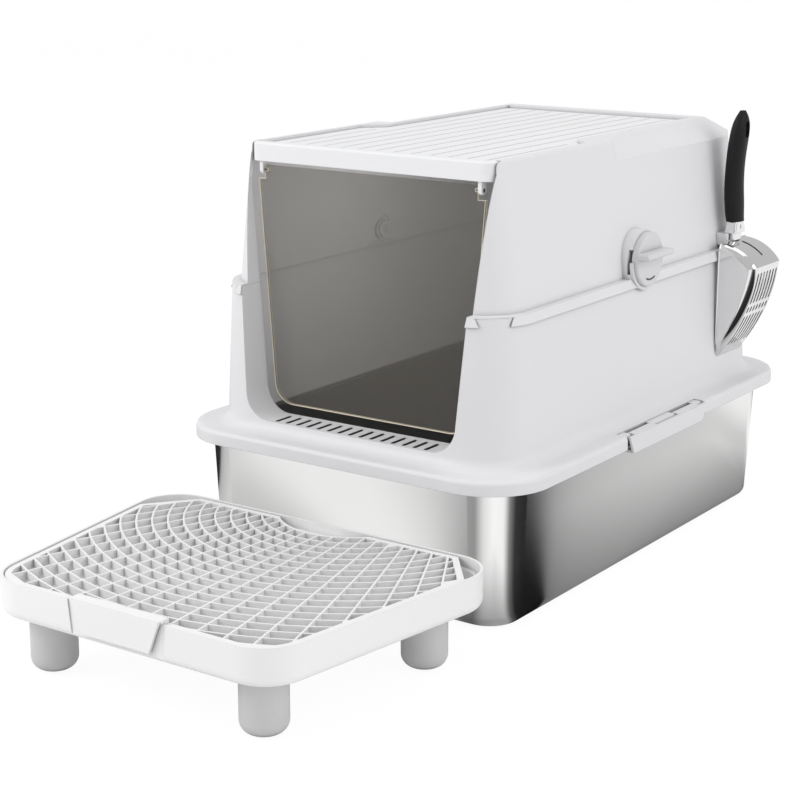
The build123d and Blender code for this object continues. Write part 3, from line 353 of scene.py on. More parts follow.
tree = wall_plastic.node_tree
coords = add_node(tree, "ShaderNodeTexCoord")
from_middle = add_node(tree, "ShaderNodeVectorMath", operation="SUBTRACT")
from_middle.inputs[1].default_value = (SLOT_BOX_LOW + SLOT_BOX_HIGH) / 2
distance = add_node(tree, "ShaderNodeVectorMath", operation="ABSOLUTE")
past_box = add_node(tree, "ShaderNodeVectorMath", operation="SUBTRACT")
past_box.inputs[1].default_value = (SLOT_BOX_HIGH - SLOT_BOX_LOW) / 2
sides = add_node(tree, "ShaderNodeSeparateXYZ")
slot_painted_shade_mask = add_node(tree, "ShaderNodeMath", operation="LESS_THAN")
slot_painted_shade_mask.inputs[1].default_value = 0.0
join(tree, coords.outputs["Object"], from_middle.inputs[0])
join(tree, from_middle.outputs[0], distance.inputs[0])
join(tree, distance.outputs[0], past_box.inputs[0])
join(tree, past_box.outputs[0], sides.inputs[0])
past_side = larger_of(tree, sides.outputs["X"], sides.outputs["Y"])
join(tree, larger_of(tree, past_side, sides.outputs["Z"]), slot_painted_shade_mask.inputs[0])
# The slots' walls are darkened inside the mask: painted shade.
darken_shader(tree, slot_painted_shade_mask.outputs[0], SLOT_PAINTED_SHADE)
print("slot shade:", SLOT_PAINTED_SHADE)

# %% [markdown]
# ## The metals
# The pan is satin sheet, with its lines running round the walls. The scoop, with its ferrule and rivet, is
# polished far brighter, so it mirrors the studio almost sharply. The pins are plain turned steel.

# %% Metals
LINE_STRENGTH = 0.4


def steel(name, low, high, roughness, spread, line_bump, edge_radius):
    """A steel between two close greys; spread says how much the lines vary its roughness."""
    material, tree, shader = principled(name)
    surface = place_group(tree, brush, Base_Roughness=roughness, Spread=spread)
    shader.inputs["Metallic"].default_value = 1.0
    wire_colour(tree, shader, surface, tint(tree, surface.outputs["Shade"], low, high))
    wire_relief(tree, shader, surface, edge_radius, LINE_STRENGTH, line_bump)
    return material


pan_steel = steel("pan_steel", (0.78, 0.78, 0.775), (0.84, 0.84, 0.835), roughness=0.13, spread=0.05,
                  line_bump=0.000010, edge_radius=0.0012)
scoop_steel = steel("scoop_steel", (0.74, 0.74, 0.74), (0.80, 0.80, 0.80), roughness=0.06, spread=0.04,
                    line_bump=0.000004, edge_radius=0.0006)
pin_steel = steel("pin_steel", (0.62, 0.62, 0.62), (0.70, 0.70, 0.70), roughness=0.24, spread=0.10,
                  line_bump=0.000004, edge_radius=0.0003)
print("metals:", [metal.name for metal in (pan_steel, scoop_steel, pin_steel)])

# %% [markdown]
# ## Painted shade and a rougher finish inside the pan
# The inside of the pan gets painted shade: its colour is darkened there. In use, litter scours the inside
# of such a pan, so it is also made rougher than the outside. A face belongs to the inside where its normal
# points back at the middle of the pan, so the mask is the dot product of the normal and the way from the
# middle to the face.

# %% Inside of the pan
INSIDE_PAINTED_SHADE = 0.58
INSIDE_ROUGHNESS = 0.38
INSIDE_EDGE = 0.01
pan_low, pan_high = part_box("steel_pan")
tree = pan_steel.node_tree
rough_socket = tree.nodes["Principled BSDF"].inputs["Roughness"]
coords = add_node(tree, "ShaderNodeTexCoord")
facing = add_node(tree, "ShaderNodeNewGeometry")
from_middle = add_node(tree, "ShaderNodeVectorMath", operation="SUBTRACT")
from_middle.inputs[1].default_value = (pan_low + pan_high) / 2
outward = add_node(tree, "ShaderNodeVectorMath", operation="DOT_PRODUCT")
inside = add_node(tree, "ShaderNodeMapRange")
inside.inputs["From Min"].default_value = 0.0
inside.inputs["From Max"].default_value = -INSIDE_EDGE
scoured = add_node(tree, "ShaderNodeMath", operation="MULTIPLY")
scoured.inputs[1].default_value = INSIDE_ROUGHNESS
join(tree, coords.outputs["Object"], from_middle.inputs[0])
join(tree, from_middle.outputs[0], outward.inputs[0])
join(tree, facing.outputs["Normal"], outward.inputs[1])
join(tree, outward.outputs["Value"], inside.inputs["Value"])
join(tree, inside.outputs["Result"], scoured.inputs[0])
# The inside's colour is darkened: painted shade.
darken_shader(tree, inside.outputs["Result"], INSIDE_PAINTED_SHADE)
join(tree, larger_of(tree, rough_socket.links[0].from_socket, scoured.outputs[0]), rough_socket)
print("inside shade:", INSIDE_PAINTED_SHADE)

# %% [markdown]
# ## The rubber grip and the smoked flap
# The grip is a charcoal rubber sleeve, matt with a faint sheen. The flap is a smoked sheet: light passes
# through, loses about half of itself and turns a little brown. A part-clear alpha lets the light into the
# box as the real sheet does, and the gloss stays on top of it.

# %% Grip and flap
GRIP_LOW = (0.011, 0.011, 0.012)
GRIP_HIGH = (0.016, 0.016, 0.017)
GRIP_EDGE = 0.0008
GRIP_STRENGTH = 0.6
GRIP_BUMP = 0.00003
SMOKE_LOW = (0.128, 0.120, 0.106)
SMOKE_HIGH = (0.146, 0.134, 0.114)
SMOKE_ALPHA = 0.34
grip_rubber, tree, shader = principled("grip_rubber")
surface = place_group(tree, grain, Grain_Scale=2200.0, Base_Roughness=0.5, Drift=0.1)
shader.inputs["Sheen Weight"].default_value = 0.01
shader.inputs["Specular IOR Level"].default_value = 0.15
wire_colour(tree, shader, surface, tint(tree, surface.outputs["Shade"], GRIP_LOW, GRIP_HIGH))
wire_relief(tree, shader, surface, GRIP_EDGE, GRIP_STRENGTH, GRIP_BUMP)

smoked_sheet, tree, shader = principled("smoked_sheet")
surface = place_group(tree, grain, Grain_Scale=300.0, Base_Roughness=0.08, Drift=0.05)
shader.inputs["Alpha"].default_value = SMOKE_ALPHA
shader.inputs["Specular IOR Level"].default_value = 0.35
wire_colour(tree, shader, surface, tint(tree, surface.outputs["Shade"], SMOKE_LOW, SMOKE_HIGH))
print("also:", grip_rubber.name, smoked_sheet.name)

# %% [markdown]
# ## Dressing the CAD nodes
# Each node already has the right shape, so it only gets its finish. A table of finishes and the nodes that
# wear them is easier to read, and to correct, than a line for each node. In the photograph the pan mirrors a
# bare studio and not the step in front of it, so mirror rays pass the step by.

# %% Materials on the nodes
FINISHES = {
    shell_plastic: ("upper_hood", "side_clip_left", "side_clip_right", "scoop_holder",
                    "lock_retainer_left", "lock_retainer_right"),
    wall_plastic: ("lower_wall",),
    lid_plastic: ("top_lid",),
    knob_plastic: ("lock_knob_left", "lock_knob_right"),
    step_plastic: ("step_tray", "step_grid", "grid_tab"),
    leg_plastic: ("step_leg_front_left", "step_leg_front_right", "step_leg_back_left", "step_leg_back_right"),
    pan_steel: ("steel_pan",),
    scoop_steel: ("scoop_blade", "scoop_ferrule", "scoop_rivet"),
    pin_steel: ("clip_pin_left", "clip_pin_right", "lid_pin_left", "lid_pin_right"),
    grip_rubber: ("scoop_grip",),
    smoked_sheet: ("flap_door",),
}
for material, wearers in FINISHES.items():
    for name in wearers:
        slots = nodes[name].data.materials
        slots.clear()
        slots.append(material)
for name in (*FINISHES[step_plastic], *FINISHES[leg_plastic]):
    nodes[name].visible_glossy = False
undressed = set(nodes) - {name for wearers in FINISHES.values() for name in wearers}
print("undressed nodes:", sorted(undressed))

# %% [markdown]
# ## Growing pieces on the solids
# Some trim follows an edge or a surface that the CAD model already has: the bright rim of the flap, the
# rolled lip of the scoop. Typing those outlines again would let them drift. A Geometry Nodes tree reads them
# from a copy of the solid instead. The helpers start a tree with named inputs, end it and run it. What it
# made is kept as a plain mesh at the origin, because an export drops modifiers and instances.

# %% Geometry Nodes helpers
GEOMETRY = "NodeSocketGeometry"
MATERIAL = "NodeSocketMaterial"


def geometry_tree(name, inputs):
    """A tree with geometry in and out and named inputs, and its two end nodes."""
    tree = bpy.data.node_groups.new(name, "GeometryNodeTree")
    tree.interface.new_socket("Geometry", in_out="INPUT", socket_type=GEOMETRY)
    tree.interface.new_socket("Geometry", in_out="OUTPUT", socket_type=GEOMETRY)
    for label, kind in inputs.items():
        tree.interface.new_socket(label, in_out="INPUT", socket_type=kind)
    return tree, tree.nodes.new("NodeGroupInput"), tree.nodes.new("NodeGroupOutput")


def end_tree(tree, geometry, finish, tree_out):
    """Smooth shading, no instances left, and the finish: how every tree here ends."""
    smooth = add_node(tree, "GeometryNodeSetShadeSmooth")
    real = add_node(tree, "GeometryNodeRealizeInstances")
    dressed = add_node(tree, "GeometryNodeSetMaterial")
    join(tree, geometry, smooth.inputs["Geometry"])
    join(tree, smooth.outputs[0], real.inputs[0])
    join(tree, real.outputs[0], dressed.inputs["Geometry"])
    join(tree, finish, dressed.inputs["Material"])
    join(tree, dressed.outputs[0], tree_out.inputs["Geometry"])


def grow(name, node, tree, body, values):
    """Runs a tree on a copy of a node's mesh; the result rides on a body as a plain mesh."""
    piece = link(bpy.data.objects.new(name, nodes[node].data.copy()))
    modifier = piece.modifiers.new("grow", "NODES")
    modifier.node_group = tree
    for item in tree.interface.items_tree:
        if item.in_out == "INPUT" and item.name in values:
            modifier[item.identifier] = values[item.name]
    evaluated = piece.evaluated_get(bpy.context.evaluated_depsgraph_get())
    mesh = bpy.data.meshes.new_from_object(evaluated)
    piece.modifiers.remove(modifier)
    piece.data = mesh
    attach(piece, body)
    print(name, "faces:", len(mesh.polygons))


# %% [markdown]
# ## A bead round a flat face: which faces
# A bead round the outline of a flat face could be drawn point by point. The tree finds the outline instead,
# so it fits whatever the solid is. First it merges the loose triangles of the copy and keeps the faces that
# look one way, lie at one level along that way and stay below a height.

# %% Tree: the faces that are kept
SAME_PLACE = 0.00001
SAME_WAY = 0.99
LEVEL_ROOM = 0.0002
BEAD_INPUTS = {"Facing": VECTOR, "Level": FLOAT, "Below": FLOAT, "Bead Radius": FLOAT, "Finish": MATERIAL}


def both_of(tree, first, second):
    """True where both are true."""
    both = add_node(tree, "FunctionNodeBooleanMath", operation="AND")
    join(tree, first, both.inputs[0])
    join(tree, second, both.inputs[1])
    return both.outputs[0]


bead, bead_in, bead_out = geometry_tree("face_outline_bead", BEAD_INPUTS)
whole = add_node(bead, "GeometryNodeMergeByDistance", Distance=SAME_PLACE)
place = add_node(bead, "GeometryNodeInputPosition")
normal = add_node(bead, "GeometryNodeInputNormal")
looks = add_node(bead, "ShaderNodeVectorMath", operation="DOT_PRODUCT")
looks_so = add_node(bead, "FunctionNodeCompare", data_type="FLOAT", operation="GREATER_THAN")
looks_so.inputs["B"].default_value = SAME_WAY
level = add_node(bead, "ShaderNodeVectorMath", operation="DOT_PRODUCT")
near_level = add_node(bead, "ShaderNodeMath", operation="COMPARE")
near_level.inputs[2].default_value = LEVEL_ROOM
height = add_node(bead, "ShaderNodeSeparateXYZ")
low_enough = add_node(bead, "FunctionNodeCompare", data_type="FLOAT", operation="LESS_THAN")
kept = add_node(bead, "GeometryNodeSeparateGeometry", domain="FACE")
join(bead, bead_in.outputs["Geometry"], whole.inputs["Geometry"])
join(bead, normal.outputs[0], looks.inputs[0])
join(bead, bead_in.outputs["Facing"], looks.inputs[1])
join(bead, looks.outputs["Value"], looks_so.inputs["A"])
join(bead, place.outputs[0], level.inputs[0])
join(bead, bead_in.outputs["Facing"], level.inputs[1])
join(bead, level.outputs["Value"], near_level.inputs[0])
join(bead, bead_in.outputs["Level"], near_level.inputs[1])
join(bead, place.outputs[0], height.inputs[0])
join(bead, height.outputs["Z"], low_enough.inputs["A"])
join(bead, bead_in.outputs["Below"], low_enough.inputs["B"])
flat_face = both_of(bead, looks_so.outputs[0], near_level.outputs[0])
join(bead, whole.outputs[0], kept.inputs["Geometry"])
join(bead, both_of(bead, flat_face, low_enough.outputs[0]), kept.inputs["Selection"])
print("tree:", bead.name, "inputs:", list(BEAD_INPUTS))

# %% [markdown]
# ## A bead round a flat face: the outline
# An edge that only one kept face touches lies on the outline. Those edges become a curve, again only below
# the height, and a small circle swept along it is the bead.

# %% Tree: the outline as a bead
ONE_FACE = 1
BEAD_SIDES = 8


def sweep_bead(tree, curve, radius, capped):
    """A small circle swept along a curve, with closed or open ends."""
    ring = add_node(tree, "GeometryNodeCurvePrimitiveCircle", Resolution=BEAD_SIDES)
    swept = add_node(tree, "GeometryNodeCurveToMesh")
    swept.inputs["Fill Caps"].default_value = capped
    join(tree, radius, ring.inputs["Radius"])
    join(tree, curve, swept.inputs["Curve"])
    join(tree, ring.outputs[0], swept.inputs["Profile Curve"])
    return swept.outputs[0]


beside = add_node(bead, "GeometryNodeInputMeshEdgeNeighbors")
single = add_node(bead, "FunctionNodeCompare", data_type="INT", operation="EQUAL")
face_count, wanted_count = [socket for socket in single.inputs if socket.type == "INT"]
wanted_count.default_value = ONE_FACE
outline = add_node(bead, "GeometryNodeMeshToCurve")
join(bead, beside.outputs["Face Count"], face_count)
join(bead, kept.outputs["Selection"], outline.inputs["Mesh"])
join(bead, both_of(bead, single.outputs[0], low_enough.outputs[0]), outline.inputs["Selection"])
outline_bead = sweep_bead(bead, outline.outputs[0], bead_in.outputs["Bead Radius"], capped=False)
end_tree(bead, outline_bead, bead_in.outputs["Finish"], bead_out)
print("tree:", bead.name, "nodes:", len(bead.nodes))

# %% [markdown]
# ## The flap's rims and the scoop's lip
# The polished edge of the smoked sheet gathers light and looks like pale honey, so it gets a bead on the
# front face and one on the back, without the top edge. Their honey colour is a painted highlight. The scoop's
# lip is rolled over so that it doesn't cut: a thicker bead in the scoop's own steel, below the ferrule.

# %% Flap rims and scoop lip
FLAP_BEAD = 0.0005
LIP_BEAD = 0.0009
RIM_HIGHLIGHT_LOW = (0.74, 0.66, 0.50)
RIM_HIGHLIGHT_HIGH = (0.84, 0.77, 0.62)
# The rims' pale honey colour is a painted highlight, for the light the sheet's edge gathers.
flap_rim_painted_highlight, tree, shader = principled("flap_rim_painted_highlight")
surface = place_group(tree, grain, Grain_Scale=300.0, Base_Roughness=0.18, Drift=0.08)
wire_colour(tree, shader, surface, tint(tree, surface.outputs["Shade"], RIM_HIGHLIGHT_LOW, RIM_HIGHLIGHT_HIGH))

flap_low, flap_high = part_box("flap_door")
flap_points = [vertex.co for vertex in nodes["flap_door"].data.vertices]
sheet_levels = [point.y for point in flap_points if point.z < (flap_low.z + flap_high.z) / 2]
rims = (("flap_front_rim", -1.0, min(sheet_levels)), ("flap_back_rim", 1.0, max(sheet_levels)))
for name, sign, level_y in rims:
    sheet_top = max(point.z for point in flap_points if abs(point.y - level_y) < LEVEL_ROOM)
    grow(name, "flap_door", bead, "flap",
         {"Facing": (0.0, sign, 0.0), "Level": sign * level_y, "Below": sheet_top - FLAP_BEAD,
          "Bead Radius": FLAP_BEAD, "Finish": flap_rim_painted_highlight})
lip_low, lip_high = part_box("scoop_blade")
grow("scoop_lip", "scoop_blade", bead, "scoop",
     {"Facing": (-1.0, 0.0, 0.0), "Level": -lip_low.x, "Below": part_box("scoop_ferrule")[0].z,
      "Bead Radius": LIP_BEAD, "Finish": scoop_steel})

# %% [markdown]
# ## Lines that lie on a solid
# A few fine lines follow a surface. Each starts as an arc or a straight line in the air. A Raycast drops
# every point of it on the solid, and a small circle swept along it makes it a bead, half sunk in the surface.

# %% Dropping a curve on a solid
LINE_POINTS = 24
RAY_LENGTH = 0.5


def drop_on_surface(tree, tree_in, tree_out, curve):
    """Drops the points of a curve on the solid and gives the line its thickness and finish."""
    even = add_node(tree, "GeometryNodeResampleCurve", Count=LINE_POINTS)
    drop = add_node(tree, "GeometryNodeRaycast", Ray_Length=RAY_LENGTH)
    settled = add_node(tree, "GeometryNodeSetPosition")
    join(tree, curve, even.inputs["Curve"])
    join(tree, even.outputs[0], settled.inputs["Geometry"])
    join(tree, tree_in.outputs["Geometry"], drop.inputs["Target Geometry"])
    join(tree, tree_in.outputs["Toward"], drop.inputs["Ray Direction"])
    join(tree, drop.outputs["Is Hit"], settled.inputs["Selection"])
    join(tree, drop.outputs["Hit Position"], settled.inputs["Position"])
    line_bead = sweep_bead(tree, settled.outputs[0], tree_in.outputs["Line Radius"], capped=True)
    end_tree(tree, line_bead, tree_in.outputs["Finish"], tree_out)


# %% [markdown]
# ## An arc and a straight line to drop
# Two trees make the curves. The arc is drawn flat, stood up so that it faces along X, as the walls do, and
# moved to its centre. The line goes from one point to another. Both then drop in the direction they are told.

# %% Trees: arc and line on a surface
STAND_UP = (math.pi / 2, 0.0, math.pi / 2)
LINE_INPUTS = {"Toward": VECTOR, "Line Radius": FLOAT, "Finish": MATERIAL}
ARC_INPUTS = {"Centre": VECTOR, "Radius": FLOAT, "Start": FLOAT, "Sweep": FLOAT, **LINE_INPUTS}
arc_tree, arc_in, arc_out = geometry_tree("arc_on_surface", ARC_INPUTS)
arc = add_node(arc_tree, "GeometryNodeCurveArc")
upright = add_node(arc_tree, "GeometryNodeTransform", Rotation=STAND_UP)
join(arc_tree, arc_in.outputs["Radius"], arc.inputs["Radius"])
join(arc_tree, arc_in.outputs["Start"], arc.inputs["Start Angle"])
join(arc_tree, arc_in.outputs["Sweep"], arc.inputs["Sweep Angle"])
join(arc_tree, arc.outputs["Curve"], upright.inputs["Geometry"])
join(arc_tree, arc_in.outputs["Centre"], upright.inputs["Translation"])
drop_on_surface(arc_tree, arc_in, arc_out, upright.outputs[0])

line_tree, line_in, line_out = geometry_tree("line_on_surface", {"From": VECTOR, "To": VECTOR, **LINE_INPUTS})
line = add_node(line_tree, "GeometryNodeCurvePrimitiveLine")
join(line_tree, line_in.outputs["From"], line.inputs["Start"])
join(line_tree, line_in.outputs["To"], line.inputs["End"])
drop_on_surface(line_tree, line_in, line_out, line.outputs[0])
print("trees:", arc_tree.name, line_tree.name)

# %% [markdown]
# ## A painted groove, ribs and ledges round the knobs
# Each knob carries a crescent groove that shows which way it turns, drawn as a dark bead: painted shade.
# Inside the hood, where the flap lets one look in, a rib goes round the knob's shaft and a short ledge lies
# below it. All are placed from the middle of the shaft's retainer: the crescent drops from outside, the rib
# and the ledge from within.

# %% Crescents, ribs and ledges
CRESCENT_RADIUS = 0.020
CRESCENT_START = math.radians(245)
CRESCENT_SWEEP = math.radians(50)
RIB_RADIUS = 0.016
RIB_START = math.radians(-50)
RIB_SWEEP = math.radians(280)
LEDGE_HALF = 0.020
LEDGE_DROP = 0.0145
FINE_LINE = 0.0008
RIB_LINE = 0.0010
CLEAR_OF_KNOB = 0.10
CLEAR_OF_WALL = 0.05
for side, sign in (("left", -1.0), ("right", 1.0)):
    shaft_low, shaft_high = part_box("lock_retainer_" + side)
    shaft = (shaft_low + shaft_high) / 2
    outside = Vector((shaft.x + sign * CLEAR_OF_KNOB, shaft.y, shaft.z))
    within = Vector((shaft.x - sign * CLEAR_OF_WALL, shaft.y, shaft.z))
    # The crescent is a dark bead: painted shade of a groove.
    grow("knob_groove_shade_" + side, "lock_knob_" + side, arc_tree, "knob_" + side,
         {"Centre": outside, "Radius": CRESCENT_RADIUS, "Start": CRESCENT_START, "Sweep": CRESCENT_SWEEP,
          "Toward": (-sign, 0.0, 0.0), "Line Radius": FINE_LINE, "Finish": painted_groove_shade})
    grow("shaft_rib_" + side, "upper_hood", arc_tree, "box",
         {"Centre": within, "Radius": RIB_RADIUS, "Start": RIB_START, "Sweep": RIB_SWEEP,
          "Toward": (sign, 0.0, 0.0), "Line Radius": RIB_LINE, "Finish": shell_plastic})
    ledge = within + Vector((0.0, 0.0, -LEDGE_DROP))
    across = Vector((0.0, LEDGE_HALF, 0.0))
    grow("shaft_ledge_" + side, "upper_hood", line_tree, "box",
         {"From": ledge - across, "To": ledge + across, "Toward": (sign, 0.0, 0.0),
          "Line Radius": RIB_LINE, "Finish": shell_plastic})

# %% [markdown]
# ## The painted slit in the scoop's shoulder
# A short slit runs across the bent shoulder of the blade, where the blade's solid is closed. It is drawn as a
# dark line, painted shade, that drops on the shoulder from above, so it follows the bend.

# %% Scoop slit
SLIT_LINE = 0.0008
SLIT_FROM = 0.010
SLIT_TO = 0.034
DOWN = (0.0, 0.0, -1.0)
slit_y = (lip_low.y + lip_high.y) / 2
# The slit is a dark line: painted shade.
grow("painted_shoulder_slit", "scoop_blade", line_tree, "scoop",
     {"From": (lip_low.x + SLIT_FROM, slit_y, lip_high.z), "To": (lip_low.x + SLIT_TO, slit_y, lip_high.z),
      "Toward": DOWN, "Line Radius": SLIT_LINE, "Finish": painted_groove_shade})

# %% [markdown]
# ## The studio floor
# The object stands on a white sweep, made as one flat sheet a hair below it. A mirror of steel needs more
# than white: under an even pale sky it looks like white paint. A photographer lays dark and grey flags on the
# floor, out of sight, and the steel draws them as long bands. The next cells paint such flags in the floor's
# own material, where only glossy rays see them.

# %% Floor sheet
FLOOR_SIZE = 12.0
FLOOR_DROP = 0.0004
WHITE = (1.0, 1.0, 1.0, 1.0)


def quad(name, corners, material):
    """A flat sheet of one face."""
    mesh = bpy.data.meshes.new(name)
    mesh.from_pydata(corners, [], [(0, 1, 2, 3)])
    mesh.materials.append(material)
    thing = link(bpy.data.objects.new(name, mesh))


floor_paint = bpy.data.materials.new("floor_paint")
floor_paint.use_nodes = True
floor_tree = floor_paint.node_tree
floor_tree.nodes.clear()
half = FLOOR_SIZE / 2
quad("floor", [(-half, -half, -FLOOR_DROP), (half, -half, -FLOOR_DROP),
               (half, half, -FLOOR_DROP), (-half, half, -FLOOR_DROP)], floor_paint)
print("floor:", FLOOR_SIZE, "m")

# %% [markdown]
# ## Flags by angle
# The pan's walls lean out and mirror the floor, and round a corner the mirrored places fan out. So the flags
# are a ramp of tones by the angle round the corner nearest the camera, in degrees. The far half of the floor
# repeats them, turned half way round, for the corner at the back.

# %% Flags by angle
HALF_TURN = 180
FAN_CENTRE_SHARE = (0.375, -0.410)
FLAG_TONES = ((-180, 0.60), (-153, 0.66), (-146, 1.0), (-136, 0.98), (-128, 0.80), (-119, 0.38), (-99, 0.32),
              (-76, 0.85), (-50, 1.10), (-22, 1.05), (-6, 0.24), (12, 0.04), (57.5, 0.02), (60, 0.45),
              (66, 0.58), (74, 0.70), (78, 0.77), (87, 0.74), (96, 0.55), (180, 0.60))


def flag_ramp(tree, fan):
    """The tone that steel sees on the floor, by the angle round a corner of the pan."""
    ramp = add_node(tree, "ShaderNodeValToRGB")
    stops = ramp.color_ramp.elements
    while len(stops) < len(FLAG_TONES):
        stops.new(1.0)
    for stop, (angle, tone) in zip(stops, FLAG_TONES):
        stop.position = (angle + HALF_TURN) / (2 * HALF_TURN)
        stop.color = (tone, tone, tone, 1.0)
    join(tree, fan, ramp.inputs["Fac"])
    return ramp.outputs["Color"]


pan_size = pan_high - pan_low
fan_centre = (pan_size.x * FAN_CENTRE_SHARE[0], pan_size.y * FAN_CENTRE_SHARE[1], 0.0)
halves_line = Vector((pan_size.y, -pan_size.x, 0.0)).normalized()
coords = add_node(floor_tree, "ShaderNodeTexCoord")
half_of = add_node(floor_tree, "ShaderNodeVectorMath", operation="DOT_PRODUCT")
half_of.inputs[1].default_value = halves_line
which_half = add_node(floor_tree, "ShaderNodeMath", operation="SIGN")
turned = add_node(floor_tree, "ShaderNodeVectorMath", operation="SCALE")
round_corner = add_node(floor_tree, "ShaderNodeVectorMath", operation="SUBTRACT")
round_corner.inputs[1].default_value = fan_centre
fan = add_node(floor_tree, "ShaderNodeTexGradient", gradient_type="RADIAL")
join(floor_tree, coords.outputs["Object"], half_of.inputs[0])
join(floor_tree, half_of.outputs["Value"], which_half.inputs[0])
join(floor_tree, coords.outputs["Object"], turned.inputs[0])
join(floor_tree, which_half.outputs[0], turned.inputs["Scale"])
join(floor_tree, turned.outputs[0], round_corner.inputs[0])
join(floor_tree, round_corner.outputs[0], fan.inputs["Vector"])
flag_tone = flag_ramp(floor_tree, fan.outputs["Fac"])
print("fan centre:", [round(value, 3) for value in fan_centre], "flags:", len(FLAG_TONES))

# %% [markdown]
# ## Shade at the pan's foot
# Close to the pan less light reaches the floor, so the tones darken towards its foot. How far a point
# lies from the foot is how far it is past the foot's half width or half length, whichever is more.

# %% Shade at the pan's foot
FOOT_ROOM = 0.012
FOOT_REACH = 0.128
FOOT_SHADE = 0.34


def past_half(tree, along, half_length):
    """How far a coordinate lies past a half length, on either side of the middle."""
    reach = add_node(tree, "ShaderNodeMath", operation="ABSOLUTE")
    past = add_node(tree, "ShaderNodeMath", operation="SUBTRACT")
    past.inputs[1].default_value = half_length
    join(tree, along, reach.inputs[0])
    join(tree, reach.outputs[0], past.inputs[0])
    return past.outputs[0]


pan_points = [vertex.co for vertex in nodes["steel_pan"].data.vertices]
foot_points = [point for point in pan_points if point.z < pan_low.z + FOOT_ROOM]
foot_half_width = max(point.x for point in foot_points)
foot_half_length = max(point.y for point in foot_points)
side_of = add_node(floor_tree, "ShaderNodeSeparateXYZ")
near_foot = add_node(floor_tree, "ShaderNodeMapRange")
near_foot.inputs["From Max"].default_value = FOOT_REACH
near_foot.inputs["To Min"].default_value = FOOT_SHADE
footed = add_node(floor_tree, "ShaderNodeVectorMath", operation="SCALE")
join(floor_tree, coords.outputs["Object"], side_of.inputs[0])
past_width = past_half(floor_tree, side_of.outputs["X"], foot_half_width)
past_length = past_half(floor_tree, side_of.outputs["Y"], foot_half_length)
join(floor_tree, larger_of(floor_tree, past_width, past_length), near_foot.inputs["Value"])
join(floor_tree, flag_tone, footed.inputs[0])
join(floor_tree, near_foot.outputs["Result"], footed.inputs["Scale"])
print("foot:", round(2 * foot_half_width, 3), "by", round(2 * foot_half_length, 3), "m")

# %% [markdown]
# ## Reach of the flags
# Flags have a size. Past their reach from the corner the tones fade, and the floor is white again.

# %% Reach of the flags
FLAG_REACH = 0.85
FLAG_FADE = 0.20
far_out = add_node(floor_tree, "ShaderNodeVectorMath", operation="LENGTH")
beyond = add_node(floor_tree, "ShaderNodeMapRange", interpolation_type="SMOOTHSTEP")
beyond.inputs["From Min"].default_value = FLAG_REACH
beyond.inputs["From Max"].default_value = FLAG_REACH + FLAG_FADE
flags, near_tone, far_tone, flag_colour = colour_mix(floor_tree)
far_tone.default_value = WHITE
join(floor_tree, round_corner.outputs[0], far_out.inputs[0])
join(floor_tree, far_out.outputs["Value"], beyond.inputs["Value"])
join(floor_tree, beyond.outputs["Result"], flags.inputs["Factor"])
join(floor_tree, footed.outputs[0], near_tone)
print("flags reach:", FLAG_REACH, "to", FLAG_REACH + FLAG_FADE, "m")

# %% [markdown]
# ## Who sees what of the floor
# Light Path tells which ray asks. A glossy ray sees the flags, and the camera and what looks through the flap
# see plain white. To all other rays the floor is a pale matt surface that sends some light back. A little of
# that is mixed in for the camera too, so a faint shadow still ties the object to the ground.

# %% Who sees what
SHADOW_SHARE = 0.10
FLOOR_WHITE = 1.045
FLOOR_PALE = (0.86, 0.86, 0.86, 1.0)
path = add_node(floor_tree, "ShaderNodeLightPath")
seen, plain_tone, glossy_tone, seen_colour = colour_mix(floor_tree)
plain_tone.default_value = WHITE
join(floor_tree, path.outputs["Is Glossy Ray"], seen.inputs["Factor"])
join(floor_tree, flag_colour, glossy_tone)

matt = add_node(floor_tree, "ShaderNodeBsdfDiffuse", Color=FLOOR_PALE)
white = add_node(floor_tree, "ShaderNodeEmission", Strength=FLOOR_WHITE)
camera_share = add_node(floor_tree, "ShaderNodeMath", operation="MULTIPLY")
camera_share.inputs[1].default_value = 1.0 - SHADOW_SHARE
blend = add_node(floor_tree, "ShaderNodeMixShader")
out = add_node(floor_tree, "ShaderNodeOutputMaterial")
join(floor_tree, seen_colour, white.inputs["Color"])
join(floor_tree, path.outputs["Is Camera Ray"], camera_share.inputs[0])
seen_or_mirrored = larger_of(floor_tree, camera_share.outputs[0], path.outputs["Is Glossy Ray"])
white_share = larger_of(floor_tree, seen_or_mirrored, path.outputs["Is Transmission Ray"])
join(floor_tree, white_share, blend.inputs["Fac"])
join(floor_tree, matt.outputs[0], blend.inputs[1])
join(floor_tree, white.outputs[0], blend.inputs[2])
join(floor_tree, blend.outputs[0], out.inputs["Surface"])
print("floor nodes:", len(floor_tree.nodes))

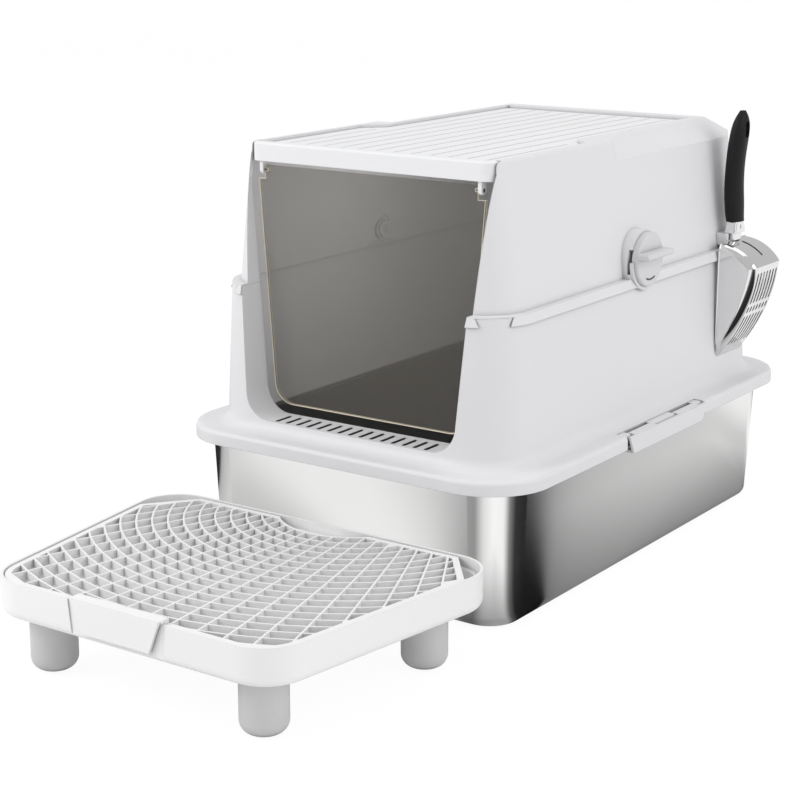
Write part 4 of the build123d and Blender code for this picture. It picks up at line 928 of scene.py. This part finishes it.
# %% [markdown]
# ## The world
# An even pale world fills the shadows. The camera, and what looks through the flap, see it as full white, so
# that the background is white without more light on the object.

# %% World
WORLD_LEVEL = 0.62
world = bpy.data.worlds.new("studio")
bpy.context.scene.world = world
world.use_nodes = True
tree = world.node_tree
back = tree.nodes["Background"]
back.inputs["Color"].default_value = WHITE
path = add_node(tree, "ShaderNodeLightPath")
world_light = add_node(tree, "ShaderNodeMapRange")
world_light.inputs["To Min"].default_value = WORLD_LEVEL
world_light.inputs["To Max"].default_value = 1.0
seen_through = larger_of(tree, path.outputs["Is Camera Ray"], path.outputs["Is Transmission Ray"])
join(tree, seen_through, world_light.inputs["Value"])
join(tree, world_light.outputs["Result"], back.inputs["Strength"])
print("world level:", WORLD_LEVEL)

# %% [markdown]
# ## The lamps
# Three large soft boxes give the forms their direction: one from the front left for the lip and the step,
# one from the right for the walls, and a weak one from above for the roof. A small warm one inside the hood
# stands for the light that the sheet and the white walls pass round in there. The camera and mirrors don't
# see that one.

# %% Lamps
AIM = (0.0, -0.1, 0.2)
WARM = (1.0, 0.97, 0.92)


def soft_box(name, place, aim, size, watts):
    """A rectangular lamp at a place, turned to face its aim."""
    data = bpy.data.lights.new(name, "AREA")
    data.shape = "RECTANGLE"
    data.size, data.size_y = size
    data.energy = watts
    lamp = link(bpy.data.objects.new(name, data))
    lamp.location = place
    lamp.rotation_euler = (Vector(aim) - Vector(place)).to_track_quat("-Z", "Y").to_euler()
    return lamp


soft_box("key_box", place=(-1.9, -2.3, 2.1), aim=AIM, size=(2.0, 1.6), watts=45.0)
soft_box("side_box", place=(2.6, 0.1, 1.6), aim=AIM, size=(1.8, 1.8), watts=22.0)
soft_box("top_box", place=(0.0, 0.4, 2.8), aim=AIM, size=(2.4, 2.4), watts=13.0)
inner_box = soft_box("inner_box", place=(0.10, -0.12, 0.33), aim=(-0.16, 0.0, 0.31), size=(0.10, 0.10),
                     watts=0.24)
inner_box.data.color = WARM
inner_box.visible_camera = False
inner_box.visible_glossy = False
